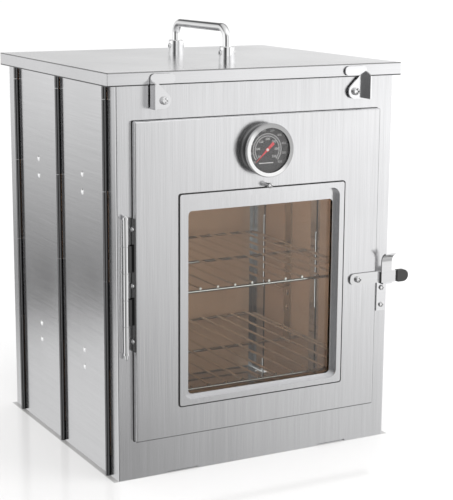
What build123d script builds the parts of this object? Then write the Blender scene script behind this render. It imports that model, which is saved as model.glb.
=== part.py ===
from build123d import *
from math import cos, radians, sin
import os

os.makedirs("parts", exist_ok=True)

# A folding camp oven. X runs to the right, Y to the back, Z up. The origin is the centre of the
# oven's underside on the ground. All sizes are in millimetres.

# ---- Walls and folding hinges ----------------------------------------------------------------
body_width = 288.0          # across the outer faces of the side walls
body_depth = 264.0          # across the outer faces of the front and back walls
wall_height = 368.7         # ground to the wall tops
sheet = 0.8                 # wall and door sheet
bend_radius = 1.6           # outside radius of the sheet bends
part_gap = 0.3              # between pieces that are not joined
front_flange = 20.0         # front face to the front pin line
rear_flange = 25.0          # back face to the rear pin line
top_flange = 10.0           # inward flange along the front and back wall tops
bottom_flange = 15.0        # inward flange along the front and back wall bottoms
leaf_flange = 10.0          # inward flange along the bottom of each side leaf
barrel_diameter = 5.0       # folding hinge barrel
fold_pin_diameter = 3.0
pin_clearance = 0.1         # between a folding pin and its barrel, on the radius
lowest_knuckle = 20.0       # height of the first knuckle joint
highest_knuckle = 23.1      # last knuckle joint down from the wall tops
long_knuckles = 4
knuckle_gap = 0.5
barrel_end = 0.5            # the barrels stop this far from the sheet ends
knuckle_relief = 0.1        # sheet cut back past the barrels that turn in it
leaf_flange_end = 0.8       # side leaf flanges short of the barrels
notch_width = 31.3          # shallow notches under the front wall
notch_height = 2.0
notch_left = 64.7           # notch centres in from the walls' outer faces
notch_right = 60.8

# ---- Floor -----------------------------------------------------------------------------------
floor_sheet = 1.0
floor_joggle = 1.2          # width of the step between pan and rim
floor_lap_gap = 0.2         # rim above the wall flanges
fold_slack = 6.2            # room between the pan and the side leaf flanges
pan_slack = 0.7             # room between the pan and the front and back flanges
rim_lap = 2.8               # rim over the side leaf flanges
rim_slack = 1.0             # room between the rim and the front and back walls

# ---- Rack supports, rivets and racks ----------------------------------------------------------
ladder_width = 12.0
ladder_sheet = 1.0
ladder_bottom = 50.0
ladder_top = 285.0
ladder_offset = 1.5         # behind the middle of each leaf
rung_reach = 12.0
rung_first = 67.7           # top of the lowest rung
rung_pitch = 46.85
rung_count = 4
rivet_low = 89.0
rivet_high = 255.5
rivet_pair = 16.5
rivet_shank = 3.2
rivet_head = 6.0
rivet_dome = 1.3
rivet_hole_gap = 0.05       # on the radius
rack_rail = 3.0
rack_wire = 2.4
rack_side_gap = 8.2         # side rails' centre lines in from the side walls
rack_front_gap = 22.0       # front rail's centre line behind the front face
rack_back_gap = 14.0        # back rail's centre line in front of the back face
rack_corner = 8.0
rack_wire_count = 14
rack_wire_near = 11.1       # first wire in from one side rail
rack_wire_far = 20.2        # last wire in from the other
rack_weld = 0.1             # a wire sinks this far into the rail it is welded to
rack_overhang = 1.5         # wire past the rails' centre lines
upper_rung_count = 2        # rungs below the one that carries each rack
lower_rung_count = 0

# ---- Lid -------------------------------------------------------------------------------------
lid_sheet = 1.0
lid_skirt = 12.0
lid_overhang = 8.5          # past each side wall
lid_radius = 0.8            # less than the sheet, so that each skirt stays a plain bar
handle_x = 4.5
handle_y = -4.0
handle_spacing = 108.0
handle_rod = 8.0
handle_rise = 31.4          # lid top to the grip's centre line
handle_bend = 11.0
handle_hole_depth = 14.0
collar_diameter = 14.8
collar_height = 11.8
collar_gap = 0.1            # round the rod, on the radius
collar_chamfer = 0.6
base_ring_diameter = 15.6
base_ring_height = 2.2
set_screw_diameter = 5.0
set_screw_socket = 2.5
set_screw_proud = 0.6       # past the collar
handle_screw_shank = 4.0
handle_screw_head = 9.0
handle_screw_head_height = 2.8
handle_screw_grip = 11.0    # shank inside the rod

# ---- Lid latches -----------------------------------------------------------------------------
latch_inset = 44.5          # pivot in from the side walls' outer faces
latch_drop = 24.2           # pivot below the wall tops
latch_sheet = 1.4
latch_lobe = 7.0            # radius of the lobe round the pivot
latch_outer = 12.5          # pivot to the tab's outer face
latch_arm_reach = 11.2      # pivot to the arm's round end
latch_arm_bottom = 14.8     # above the pivot
latch_arm_top = 23.5
latch_neck = 6.0            # pivot to the notch corner
latch_corner = 4.0          # round the plate's upper outer corner
tab_reach = 8.7
tab_slope = 4.9
latch_spacer = 2.2          # front wall to the latch plate
latch_spacer_diameter = 9.0
latch_screw_shank = 4.0
latch_screw_head = 7.0
latch_screw_head_height = 3.0
latch_side_gap = 0.1        # each side of a turning plate
latch_nut_width = 7.0
latch_nut_height = 3.0
turn_clearance = 0.05       # a turning plate round its screw, on the radius
screw_clearance = 0.1       # a fixed hole round its screw, on the radius

# ---- Door ------------------------------------------------------------------------------------
door_left_gap = 15.0        # door edges in from the side walls' outer faces
door_right_gap = 17.0
door_bottom = 36.3
door_top_gap = 40.9         # door below the wall tops
door_depth = 6.1
door_gap = 0.4              # door to front wall
door_return = 8.0           # lip turned in along the door's back edge
door_lap = 10.0             # door past the opening on each side
opening_corner = 6.0
opening_lip = 6.0

# ---- Door hinge ------------------------------------------------------------------------------
hinge_rise = 85.0           # above the door's bottom edge
hinge_length = 121.0
hinge_knuckles = 5
hinge_barrel = 4.5
hinge_pin = 2.4
hinge_clearance = 0.05
hinge_offset = 8.5          # door edge to the pin
hinge_stand = 4.4           # front wall to the pin
hinge_sheet = 1.0
hinge_leaf_width = 8.5
hinge_knuckle_gap = 0.4
hinge_leaf_edge = 0.5       # door leaf's front edge behind the door face
hinge_cap = 5.4             # caps on the pin's ends
hinge_cap_height = 1.8
hinge_tip = 3.0             # tips under and over the caps
hinge_tip_low = 3.5
hinge_tip_high = 0.5
hinge_screw_edge = 9.5      # outer screws in from the leaf's ends
hinge_screw_count = 3
hinge_screw_shank = 3.0
hinge_screw_head = 4.4
hinge_screw_head_height = 1.4
hinge_screw_length = 7.0

# ---- Window ----------------------------------------------------------------------------------
window_left_gap = 43.5      # window plate in from the door's edges
window_right_gap = 39.5
window_bottom_gap = 28.7
window_top_gap = 67.2
window_rim = 5.0
window_plate = 1.0
window_corner = 2.0
recess_corner = 8.0
recess_sheet = 0.8
recess_depth = 6.2          # frame face to the inner ring
ring_left = 6.2             # width of the inner ring on each side of the glass opening
ring_right = 4.0
ring_below = 3.3
ring_above = 11.5
sight_corner = 4.0
panel_hole_gap = 0.3        # door hole round the recess
gasket = 1.0
gasket_inset = 1.0          # gasket and clamp edge outside the sight line
glass = 3.0
glass_gap = 0.5             # round the glass
clamp_sheet = 1.0
clamp_gap = 0.4             # clamp wall round the recess
clamp_flange = 12.0
stud_diameter = 3.0
stud_length = 4.0
stud_side_z = 62.0          # side studs above and below the window's centre
stud_end_x = 52.0           # top and bottom studs either side of the window's centre
clamp_nut_width = 5.5
clamp_nut_height = 2.4
top_screw_x = 2.5
top_screw_shank = 3.0
top_screw_head = 5.0
top_screw_head_height = 2.6
top_post_diameter = 4.2
top_post_height = 6.5

# ---- Thermometer -----------------------------------------------------------------------------
gauge_x = 0.0
gauge_rise = 36.0           # centre above the window plate
case_diameter = 46.0
case_length = 10.2
case_wall = 1.0
case_back = 1.0
dial_ledge = 1.0
dial_depth = 5.0            # case rim to the dial's back
dial_sheet = 0.6
bezel_rim = 1.5             # bezel past the case all round
bezel_cover = 2.5           # bezel inside the case's outer edge
bezel_lip = 0.8
bezel_skirt = 0.8           # bezel over the case
bezel_clearance = 0.05      # round the case, on the radius
lens = 1.0
lens_gap = 0.2
needle_sheet = 0.4
needle_length = 16.6
needle_tail = 8.7
needle_angle = 223.0        # anticlockwise from the right, seen from the front
needle_width = 2.0
needle_tail_width = 3.0
needle_hub = 3.6
needle_lift = 0.5           # above the dial
spindle_diameter = 1.5
spindle_length = 5.4
spindle_clearance = 0.05
stem_hub = 6.0
stem_hub_length = 3.4
stem_thread = 8.0
stem_thread_length = 7.0
stem_diameter = 6.0
stem_reach = 40.5           # door face to the tip
gauge_nut_width = 14.0
gauge_nut_height = 3.5

# ---- Door latch and strike -------------------------------------------------------------------
lever_inset = 23.0          # pivot in from the door's right edge
lever_rise = 128.2          # pivot above the door's bottom edge
lever_height = 11.0
lever_left = 8.3            # pivot to the lever's left end
lever_joggle_start = 25.1   # pivot to the step that brings the lever's outer half forward
lever_joggle_length = 0.4
lever_joggle_depth = 3.4
lever_right = 53.0          # pivot to the lever's right end
lever_sheet = 1.5
lever_corner = 5.0
lever_side_gap = 0.2
lever_screw_shank = 4.0
lever_screw_head = 6.0
lever_screw_head_height = 2.8
lever_nut_width = 7.0
lever_nut_height = 3.0
lever_washer = 0.6
lever_washer_diameter = 10.0
grip_start = 43.0           # pivot to the grip
grip_length = 12.4
grip_height = 11.6
grip_depth = 5.0
grip_corner = 1.0           # left corners
grip_end = 5.7              # round of the right end
thumb_tab_width = 11.5      # upright tab at the start of the lever's outer half
thumb_tab_rise = 9.5        # above the lever's top edge, up to the curl
thumb_curl = 9.0
thumb_curl_angle = 75.0
thumb_lap = 2.0             # tab into the lever's face
strike_gap = 4.8            # between the door's edge and the strike plate
strike_width = 10.8
strike_height = 30.1
strike_sheet = 1.2
shelf_sheet = 1.5
shelf_gap = 0.3             # lever above the shelf
strike_screw_edge = 5.2     # screws in from the plate's left edge
strike_screw_low = 6.0      # lower screw above the plate's bottom edge
strike_screw_pitch = 17.0
strike_screw_shank = 3.0
strike_screw_head = 5.0
strike_screw_head_height = 1.6
strike_screw_length = 6.0

# ---- Shared small sizes ----------------------------------------------------------------------
recess_fraction = 0.28      # cross slot width over the head diameter
slot_depth_fraction = 0.5   # cross slot depth over the head height
head_rounding = 0.45        # rounding over the head height
through = 1.0               # how far a cutting tool runs past a face

# ---- Positions that follow from the sizes ------------------------------------------------------
UP, DOWN = (0, 0, 1), (0, 0, -1)
LEFT, RIGHT = (-1, 0, 0), (1, 0, 0)
FRONT, BACK = (0, -1, 0), (0, 1, 0)
BASE = (Align.CENTER, Align.CENTER, Align.MIN)

half_width = body_width / 2
front_face = -body_depth / 2
back_face = body_depth / 2
inner_x = half_width - sheet
barrel_x = inner_x + barrel_diameter / 2
front_line = front_face + front_flange
rear_line = back_face - rear_flange
middle_line = (front_line + rear_line) / 2
relief = barrel_diameter / 2 + knuckle_relief
barrel_top = wall_height - barrel_end
long_knuckle = (wall_height - highest_knuckle - lowest_knuckle) / long_knuckles
knuckle_joints = ([barrel_end] + [lowest_knuckle + i * long_knuckle for i in range(long_knuckles + 1)]
                  + [barrel_top])

lid_under = wall_height + part_gap
lid_top = lid_under + lid_sheet
lid_half_width = half_width + lid_overhang
lid_half_depth = body_depth / 2 + part_gap + lid_sheet
lid_bottom = lid_top - lid_skirt

door_back = front_face - door_gap
door_front = door_back - door_depth
door_span_x = (-half_width + door_left_gap, half_width - door_right_gap)
door_span_z = (door_bottom, wall_height - door_top_gap)
door_inner = door_front + sheet

latch_pivot_x = half_width - latch_inset
latch_pivot_z = wall_height - latch_drop
lever_pivot_x = door_span_x[1] - lever_inset
lever_pivot_z = door_bottom + lever_rise
RIGHT_SIDE, LEFT_SIDE = 1, -1


# ---- Shape helpers ---------------------------------------------------------------------------
def grow(span, amount):
    """Widen a (low, high) pair at both ends."""
    return (span[0] - amount, span[1] + amount)


def slab(x, y, z):
    """Block between a (low, high) pair on each axis."""
    middle = [(low + high) / 2 for low, high in (x, y, z)]
    return Pos(*middle) * Box(*[high - low for low, high in (x, y, z)])


def front_slab(x, y, z, radius):
    """Block whose corners are rounded as seen from the front."""
    plane = Plane(((x[0] + x[1]) / 2, y[1], (z[0] + z[1]) / 2), x_dir=RIGHT, z_dir=FRONT)
    return extrude(plane * RectangleRounded(x[1] - x[0], z[1] - z[0], radius), y[1] - y[0])


def rod(at, along, diameter, length):
    """Round bar from a point along a direction."""
    return Plane(at, z_dir=along).location * Cylinder(diameter / 2, length, align=BASE)


def tube(at, along, outer, inner, length):
    """Round bar with a bore right through."""
    return rod(at, along, outer, length) - rod(at, along, inner, length)


def rounded_tray(x, y, z, axis, end, radius):
    """Block rounded along one axis and round the rim of the face at one end of it."""
    block = slab(x, y, z)
    rim = block.faces().sort_by(axis)[end].edges()
    return fillet(block.edges().filter_by(axis) + rim, radius)


def dome(at, along, diameter, height):
    """Low spherical head standing on a point."""
    radius = (diameter * diameter / 4 + height * height) / (2 * height)
    cap = Pos(0, 0, height - radius) * Sphere(radius)
    cap = cap & Box(diameter, diameter, height, align=BASE)
    return Plane(at, z_dir=along).location * cap


def screw(seat, along, shank, length, head, height):
    """Cross-slotted pan-head screw; the seat is under the head, which points along."""
    body = Cylinder(head / 2, height, align=BASE)
    body = fillet(body.edges().sort_by(Axis.Z)[-1], height * head_rounding)
    depth = height * slot_depth_fraction
    slot = head * recess_fraction
    for size in ((head - slot, slot), (slot, head - slot)):
        body -= Pos(0, 0, height - depth) * Box(*size, depth + through, align=BASE)
    body += Pos(0, 0, -length) * Cylinder(shank / 2, length, align=BASE)
    return Plane(seat, x_dir=cross_direction(along), z_dir=along).location * body


def cross_direction(along):
    """A direction square to one of the six main directions."""
    return UP if along[2] == 0 else RIGHT


def nut(at, along, width, height, hole):
    """Hexagon nut standing on a point, given the width across its flats."""
    plane = Plane(at, x_dir=cross_direction(along), z_dir=along)
    blank = extrude(plane * RegularPolygon(width / 2, 6, major_radius=False), height)
    return blank - rod(at, along, hole, height)


def save(name, shape):
    """Write one piece, or one set of like pieces, to its own file."""
    export_step(shape, f"parts/{name}.step")


def mirrored(shape):
    """The same piece on the other side of the oven."""
    return mirror(shape, about=Plane.YZ)


# ---- Folding walls ---------------------------------------------------------------------------
def hinge_edge(panel, side, line, inward, owned):
    """Roll one upright sheet edge into every second knuckle and clear the knuckles between."""
    x = side * barrel_x
    sheet_span = sorted((side * (inner_x - through), side * (half_width + through)))
    clear_span = sorted((line - inward * through, line + inward * relief))
    for index in range(len(knuckle_joints) - 1):
        low, high = knuckle_joints[index], knuckle_joints[index + 1]
        low += 0 if index == 0 else knuckle_gap / 2
        high -= 0 if index == len(knuckle_joints) - 2 else knuckle_gap / 2
        if index % 2 == owned:
            panel += rod((x, line, low), UP, barrel_diameter, high - low)
        else:
            bottom = -through if index == 0 else low - knuckle_gap
            top = wall_height + through if index == len(knuckle_joints) - 2 else high + knuckle_gap
            panel -= slab(sheet_span, clear_span, (bottom, top))
    bore = fold_pin_diameter + 2 * pin_clearance
    return panel - rod((x, line, -through), UP, bore, wall_height + 2 * through)


def end_wall(face, line, inward, depth_edge, owned):
    """Upright end wall with side flanges rolled into knuckles and flanges top and bottom."""
    span_y = sorted((face, line))
    wall = slab((-half_width, half_width), span_y, (0, wall_height))
    wall = fillet(wall.edges().filter_by(Axis.Z).group_by(Axis.Y)[depth_edge], bend_radius)
    inner_y = sorted((face + inward * sheet, line + inward * through))
    hollow = slab((-inner_x, inner_x), inner_y, (-through, wall_height + through))
    hollow = fillet(hollow.edges().filter_by(Axis.Z).group_by(Axis.Y)[depth_edge], bend_radius - sheet)
    wall -= hollow
    flange_x = (-(inner_x - bend_radius), inner_x - bend_radius)
    for reach, low in ((top_flange, wall_height - sheet), (bottom_flange, 0)):
        wall += slab(flange_x, sorted((face + inward * sheet / 2, face + inward * (sheet + reach))),
                     (low, low + sheet))
    for side in (LEFT_SIDE, RIGHT_SIDE):
        wall = hinge_edge(wall, side, line, -inward, owned)
    return wall


def side_leaf(side, low, high):
    """Upright side leaf between two pin lines, with holes for its rack support's rivets."""
    leaf = slab(sorted((side * inner_x, side * half_width)), (low, high), (0, wall_height))
    flange_end = barrel_diameter / 2 + leaf_flange_end
    flange_ends = (low + flange_end, high - flange_end)
    leaf += slab(sorted((side * (inner_x - leaf_flange), side * half_width)), flange_ends, (0, sheet))
    leaf = hinge_edge(leaf, side, low, 1, 1)
    leaf = hinge_edge(leaf, side, high, -1, 0)
    return drill_rivets(leaf, side, leaf_middle(low, high))


def leaf_middle(low, high):
    """Centre line of the rack support on a leaf."""
    return (low + high) / 2 + ladder_offset


def rivet_heights():
    """Heights of the four rivets in each rack support."""
    return [start + step for start in (rivet_low, rivet_high) for step in (0, rivet_pair)]


def drill_rivets(shape, side, y):
    """Rivet holes through a leaf or a rack support."""
    start = side * (inner_x - ladder_sheet - through)
    hole = rivet_shank + 2 * rivet_hole_gap
    for z in rivet_heights():
        shape -= rod((start, y, z), (side, 0, 0), hole, ladder_sheet + sheet + 2 * through)
    return shape


def rack_ladder(side, y):
    """Upright strip with level rungs that the racks rest on."""
    edge = (y - ladder_width / 2, y + ladder_width / 2)
    face = inner_x - ladder_sheet
    ladder = slab(sorted((side * face, side * inner_x)), edge, (ladder_bottom, ladder_top))
    for index in range(rung_count):
        top = rung_first + index * rung_pitch
        ladder += slab(sorted((side * (face - rung_reach), side * inner_x)), edge,
                       (top - ladder_sheet, top))
    return drill_rivets(ladder, side, y)


def ladder_rivets(side, y):
    """Domed rivets that hold a rack support to its leaf."""
    inner_face = inner_x - ladder_sheet
    rivets = []
    for z in rivet_heights():
        shank = rod((side * inner_face, y, z), (side, 0, 0), rivet_shank, half_width - inner_face)
        outer = dome((side * half_width, y, z), (side, 0, 0), rivet_head, rivet_dome)
        inner = dome((side * inner_face, y, z), (-side, 0, 0), rivet_head, rivet_dome)
        rivets.append(shank + outer + inner)
    return Compound(children=rivets)


def fold_pins(line, sides):
    """Long pins through the knuckles on one pin line."""
    pins = [rod((side * barrel_x, line, barrel_end), UP, fold_pin_diameter, barrel_top - barrel_end)
            for side in sides]
    return Compound(children=pins)


opening_x = (door_span_x[0] + door_lap, door_span_x[1] - door_lap)
opening_z = (door_span_z[0] + door_lap, door_span_z[1] - door_lap)

strike_top = lever_pivot_z - lever_height / 2 - shelf_gap
strike_bottom = strike_top - strike_height
strike_screws_at = [strike_bottom + strike_screw_low + i * strike_screw_pitch for i in range(2)]
strike_x = (door_span_x[1] + strike_gap, door_span_x[1] + strike_gap + strike_width)
strike_screw_x = strike_x[0] + strike_screw_edge

front_wall = end_wall(front_face, front_line, 1, 0, 0)
lip_y = (front_face, front_face + opening_lip)
front_wall += front_slab(grow(opening_x, sheet), lip_y, grow(opening_z, sheet), opening_corner + sheet)
front_wall -= front_slab(opening_x, grow(lip_y, through), opening_z, opening_corner)
for notch_x in (-half_width + notch_left, half_width - notch_right):
    front_wall -= slab((notch_x - notch_width / 2, notch_x + notch_width / 2),
                       (front_face - through, front_face + sheet), (-through, notch_height))
for side in (LEFT_SIDE, RIGHT_SIDE):
    front_wall -= rod((side * latch_pivot_x, front_face - through, latch_pivot_z), BACK,
                      latch_screw_shank + 2 * screw_clearance, sheet + 2 * through)
for z in strike_screws_at:
    front_wall -= rod((strike_screw_x, front_face - through, z), BACK,
                      strike_screw_shank + 2 * screw_clearance, sheet + 2 * through)
save("front_wall", front_wall)

back_wall = end_wall(back_face, rear_line, -1, -1, 1)
save("back_wall", back_wall)

for side, name in ((LEFT_SIDE, "left"), (RIGHT_SIDE, "right")):
    for low, high, place in ((front_line, middle_line, "front"), (middle_line, rear_line, "rear")):
        save(f"{name}_{place}_leaf", side_leaf(side, low, high))
        save(f"{name}_{place}_rack_support", rack_ladder(side, leaf_middle(low, high)))
        save(f"{name}_{place}_rivets", ladder_rivets(side, leaf_middle(low, high)))

save("front_corner_pins", fold_pins(front_line, (LEFT_SIDE, RIGHT_SIDE)))
save("rear_corner_pins", fold_pins(rear_line, (LEFT_SIDE, RIGHT_SIDE)))
save("left_fold_pin", fold_pins(middle_line, (LEFT_SIDE,)))
save("right_fold_pin", fold_pins(middle_line, (RIGHT_SIDE,)))

# ---- Floor plate -----------------------------------------------------------------------------
pan_x = inner_x - leaf_flange - fold_slack
pan_y = (front_face + sheet + bottom_flange + pan_slack, back_face - sheet - bottom_flange
         - pan_slack - rim_slack)
rim_x = inner_x - leaf_flange + rim_lap
rim_y = (front_face + sheet + rim_slack / 2, back_face - sheet - rim_slack)
rim_bottom = sheet + floor_lap_gap
rim_top = rim_bottom + floor_sheet
pan_span = (-pan_x, pan_x)
floor_plate = slab(pan_span, pan_y, (0, rim_top)) + slab((-rim_x, rim_x), rim_y, (rim_bottom, rim_top))
floor_plate -= slab(grow(pan_span, -floor_joggle), grow(pan_y, -floor_joggle),
                    (floor_sheet, rim_top + through))
save("floor_plate", floor_plate)


# ---- Racks -----------------------------------------------------------------------------------
def rack(rung, turned):
    """Wire rack: a rounded rail, a cross rail and wires running front to back over them.

    The racks are alike, and one of them is turned round, so its wires are offset the other way.
    """
    rail_x = inner_x - rack_side_gap
    front_y, back_y = front_face + rack_front_gap, back_face - rack_back_gap
    centre_y = (front_y + back_y) / 2
    level = rung_first + rung * rung_pitch + part_gap + rack_rail / 2
    outline = Plane((0, centre_y, level)) * RectangleRounded(2 * rail_x, back_y - front_y, rack_corner)
    path = outline.wire()
    start = path @ 0
    frame = sweep(Plane(start, z_dir=path % 0) * Circle(rack_rail / 2), path=path)
    frame += rod((-rail_x, centre_y, level), RIGHT, rack_rail, 2 * rail_x)
    wire_level = level + rack_rail / 2 + rack_wire / 2 - rack_weld
    pitch = (2 * rail_x - rack_wire_near - rack_wire_far) / (rack_wire_count - 1)
    length = back_y - front_y + 2 * rack_overhang
    for index in range(rack_wire_count):
        x = turned * (rack_wire_near - rail_x + index * pitch)
        frame += rod((x, front_y - rack_overhang, wire_level), BACK, rack_wire, length)
    return frame


save("upper_rack", rack(upper_rung_count, 1))
save("lower_rack", rack(lower_rung_count, -1))

# ---- Lid and its handle ----------------------------------------------------------------------
handle_posts = [handle_y + sign * handle_spacing / 2 for sign in (1, -1)]
lid_x = (-lid_half_width, lid_half_width)
lid_y = (-lid_half_depth, lid_half_depth)
lid_plate = rounded_tray(lid_x, lid_y, (lid_under, lid_top), Axis.Z, -1, lid_radius)
handle_screw_hole = handle_screw_shank + 2 * screw_clearance
for y in handle_posts:
    lid_plate -= rod((handle_x, y, lid_under - through), UP, handle_screw_hole, lid_sheet + 2 * through)
save("lid_top_sheet", lid_plate)

# The four skirts folded down from the top sheet, meeting it and each other along plain faces.
skirt_z = (lid_bottom, lid_under)
lid_skirts = []
for y, rim in (((lid_y[0], lid_y[0] + lid_sheet), 0), ((lid_y[1] - lid_sheet, lid_y[1]), -1)):
    skirt = slab(lid_x, y, skirt_z)
    lid_skirts.append(fillet(skirt.edges().filter_by(Axis.Z).group_by(Axis.Y)[rim], lid_radius))
for x in ((lid_x[0], lid_x[0] + lid_sheet), (lid_x[1] - lid_sheet, lid_x[1])):
    lid_skirts.append(slab(x, grow(lid_y, -lid_sheet), skirt_z))
save("lid_skirts", Compound(children=lid_skirts))

grip_level = lid_top + handle_rise
corners = [(handle_x, handle_posts[0], lid_top), (handle_x, handle_posts[0], grip_level),
           (handle_x, handle_posts[1], grip_level), (handle_x, handle_posts[1], lid_top)]
handle_path = FilletPolyline(*corners, radius=handle_bend)
handle_bar = sweep(Plane(corners[0], z_dir=UP) * Circle(handle_rod / 2), path=handle_path)
collars, base_rings, set_screws, handle_screws = [], [], [], []
collar_bore = handle_rod + 2 * collar_gap
collar_bottom = lid_top + base_ring_height
for y in handle_posts:
    handle_bar -= rod((handle_x, y, lid_top), UP, handle_screw_hole, handle_hole_depth)
    base_rings.append(tube((handle_x, y, lid_top), UP, base_ring_diameter, collar_bore, base_ring_height))
    collar = rod((handle_x, y, collar_bottom), UP, collar_diameter, collar_height)
    collar = chamfer(collar.edges().group_by(Axis.Z)[-1], collar_chamfer)
    collar -= rod((handle_x, y, collar_bottom), UP, collar_bore, collar_height)
    middle = collar_bottom + collar_height / 2
    for side in (LEFT_SIDE, RIGHT_SIDE):
        along = (side, 0, 0)
        start = handle_x + side * handle_rod / 2
        reach = collar_diameter / 2 - handle_rod / 2
        collar -= rod((start, y, middle), along, set_screw_diameter + 2 * screw_clearance, reach + through)
        length = reach + set_screw_proud
        key = extrude(Plane((start + side * length, y, middle), z_dir=along)
                      * RegularPolygon(set_screw_socket / 2, 6, major_radius=False), -length / 2)
        set_screws.append(rod((start, y, middle), along, set_screw_diameter, length) - key)
    collars.append(collar)
    handle_screws.append(screw((handle_x, y, lid_under), DOWN, handle_screw_shank,
                               lid_sheet + handle_screw_grip, handle_screw_head,
                               handle_screw_head_height))
save("lid_handle_bar", handle_bar)
save("lid_handle_collars", Compound(children=collars))
save("lid_handle_base_rings", Compound(children=base_rings))
save("lid_handle_set_screws", Compound(children=set_screws))
save("lid_handle_screws", Compound(children=handle_screws))


# ---- Lid latches -----------------------------------------------------------------------------
latch_back = front_face - latch_spacer
latch_front = latch_back - latch_sheet


def lid_latch():
    """Right-hand lid latch: a hooked plate with a thumb tab bent out along its outer edge."""
    plane = Plane((latch_pivot_x, latch_back, latch_pivot_z), x_dir=RIGHT, z_dir=FRONT)
    slope = latch_lobe * sin(radians(45))
    cheek = Polygon((0, 0), (0, -latch_lobe), (latch_outer, -latch_lobe),
                    (latch_outer, latch_arm_bottom + through), (latch_neck, latch_arm_bottom + through),
                    (-slope, slope), align=None)
    height = latch_arm_top - latch_arm_bottom
    arm_length = latch_outer + latch_arm_reach
    arm = Pos((latch_outer - latch_arm_reach) / 2, (latch_arm_top + latch_arm_bottom) / 2) \
        * Rectangle(arm_length, height)
    arm = fillet(arm.vertices().group_by(Axis.X)[0], height / 2 - part_gap / 2)
    arm = fillet(arm.vertices().group_by(Axis.X)[-1].sort_by(Axis.Y)[-1], latch_corner)
    outline = Circle(latch_lobe) + cheek + arm
    latch = extrude(plane * outline, latch_sheet)
    top = latch_pivot_z + latch_arm_top - latch_corner
    bottom = latch_pivot_z - latch_lobe
    profile = Polygon((latch_front - tab_reach, bottom), (latch_back, bottom), (latch_back, top),
                      (latch_front - tab_reach, top - tab_slope), align=None)
    side_plane = Plane((latch_pivot_x + latch_outer - latch_sheet, 0, 0), x_dir=BACK, z_dir=RIGHT)
    latch += extrude(side_plane * profile, latch_sheet)
    hole = latch_screw_shank + 2 * turn_clearance
    return latch - rod((latch_pivot_x, latch_back + through, latch_pivot_z), FRONT, hole,
                       latch_sheet + 2 * through)


right_latch = lid_latch()
pivot = (latch_pivot_x, front_face, latch_pivot_z)
seat = latch_front - latch_side_gap
spacer = tube(pivot, FRONT, latch_spacer_diameter, latch_screw_shank + 2 * screw_clearance,
              latch_spacer - latch_side_gap)
latch_screw = screw((latch_pivot_x, seat, latch_pivot_z), FRONT, latch_screw_shank,
                    front_face + sheet + latch_nut_height - seat, latch_screw_head,
                    latch_screw_head_height)
latch_nut = nut((latch_pivot_x, front_face + sheet, latch_pivot_z), BACK, latch_nut_width,
                latch_nut_height, latch_screw_shank + 2 * screw_clearance)
save("lid_latch_right", right_latch)
save("lid_latch_left", mirrored(right_latch))
save("lid_latch_spacers", Compound(children=[spacer, mirrored(spacer)]))
save("lid_latch_screws", Compound(children=[latch_screw, mirrored(latch_screw)]))
save("lid_latch_nuts", Compound(children=[latch_nut, mirrored(latch_nut)]))

# ---- Window sizes used by the door and the window pieces ---------------------------------------
plate_x = (door_span_x[0] + window_left_gap, door_span_x[1] - window_right_gap)
plate_z = (door_span_z[0] + window_bottom_gap, door_span_z[1] - window_top_gap)
window_x, window_z = sum(plate_x) / 2, sum(plate_z) / 2
gauge_z = plate_z[1] + gauge_rise
recess_x, recess_z = grow(plate_x, -window_rim), grow(plate_z, -window_rim)
outer_x, outer_z = grow(recess_x, recess_sheet), grow(recess_z, recess_sheet)
sight_x = (recess_x[0] + ring_left, recess_x[1] - ring_right)
sight_z = (recess_z[0] + ring_below, recess_z[1] - ring_above)
plate_front = door_front - window_plate
ring_front = plate_front + recess_depth
ring_back = ring_front + recess_sheet
glass_front = ring_back + gasket
glass_back = glass_front + glass
clamp_x, clamp_z = grow(outer_x, clamp_gap), grow(outer_z, clamp_gap)
pane_x, pane_z = grow(clamp_x, -glass_gap), grow(clamp_z, -glass_gap)
seal_x, seal_z = grow(sight_x, gasket_inset), grow(sight_z, gasket_inset)
stud_line = clamp_sheet + clamp_flange / 2
stud_x, stud_z = grow(clamp_x, stud_line), grow(clamp_z, stud_line)
studs_at = ([(x, window_z + sign * stud_side_z) for x in stud_x for sign in (1, -1)]
            + [(window_x + sign * stud_end_x, z) for z in stud_z for sign in (1, -1)])
top_screw_z = stud_z[1]

# ---- Door panel ------------------------------------------------------------------------------
door_panel = rounded_tray(door_span_x, (door_front, door_back), door_span_z, Axis.Y, 0, bend_radius)
hollow_y = (door_inner, door_back - sheet)
door_panel -= rounded_tray(grow(door_span_x, -sheet), hollow_y, grow(door_span_z, -sheet), Axis.Y, 0,
                           bend_radius - sheet)
door_panel -= slab(grow(door_span_x, -sheet - door_return), (hollow_y[0], door_back + through),
                   grow(door_span_z, -sheet - door_return))
hole_x, hole_z = grow(outer_x, panel_hole_gap), grow(outer_z, panel_hole_gap)
door_panel -= front_slab(hole_x, (door_front - through, door_inner + through), hole_z,
                         recess_corner + recess_sheet + panel_hole_gap)
for x, z in studs_at:
    door_panel += rod((x, door_front + sheet / 2, z), BACK, stud_diameter, stud_length + sheet / 2)
face_holes = ((gauge_x, gauge_z, stem_thread), (lever_pivot_x, lever_pivot_z, lever_screw_shank),
              (top_screw_x, top_screw_z, top_screw_shank))
for x, z, diameter in face_holes:
    door_panel -= rod((x, door_front - through, z), BACK, diameter + 2 * screw_clearance,
                      sheet + 2 * through)
hinge_screw_y = (door_front + door_back) / 2
hinge_bottom = door_bottom + hinge_rise
hinge_pitch = (hinge_length - 2 * hinge_screw_edge) / (hinge_screw_count - 1)
hinge_screws_at = [hinge_bottom + hinge_screw_edge + i * hinge_pitch for i in range(hinge_screw_count)]
hinge_screw_hole = hinge_screw_shank + 2 * screw_clearance
for z in hinge_screws_at:
    door_panel -= rod((door_span_x[0] - through, hinge_screw_y, z), RIGHT, hinge_screw_hole,
                      sheet + 2 * through)
save("door_panel", door_panel)

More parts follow.
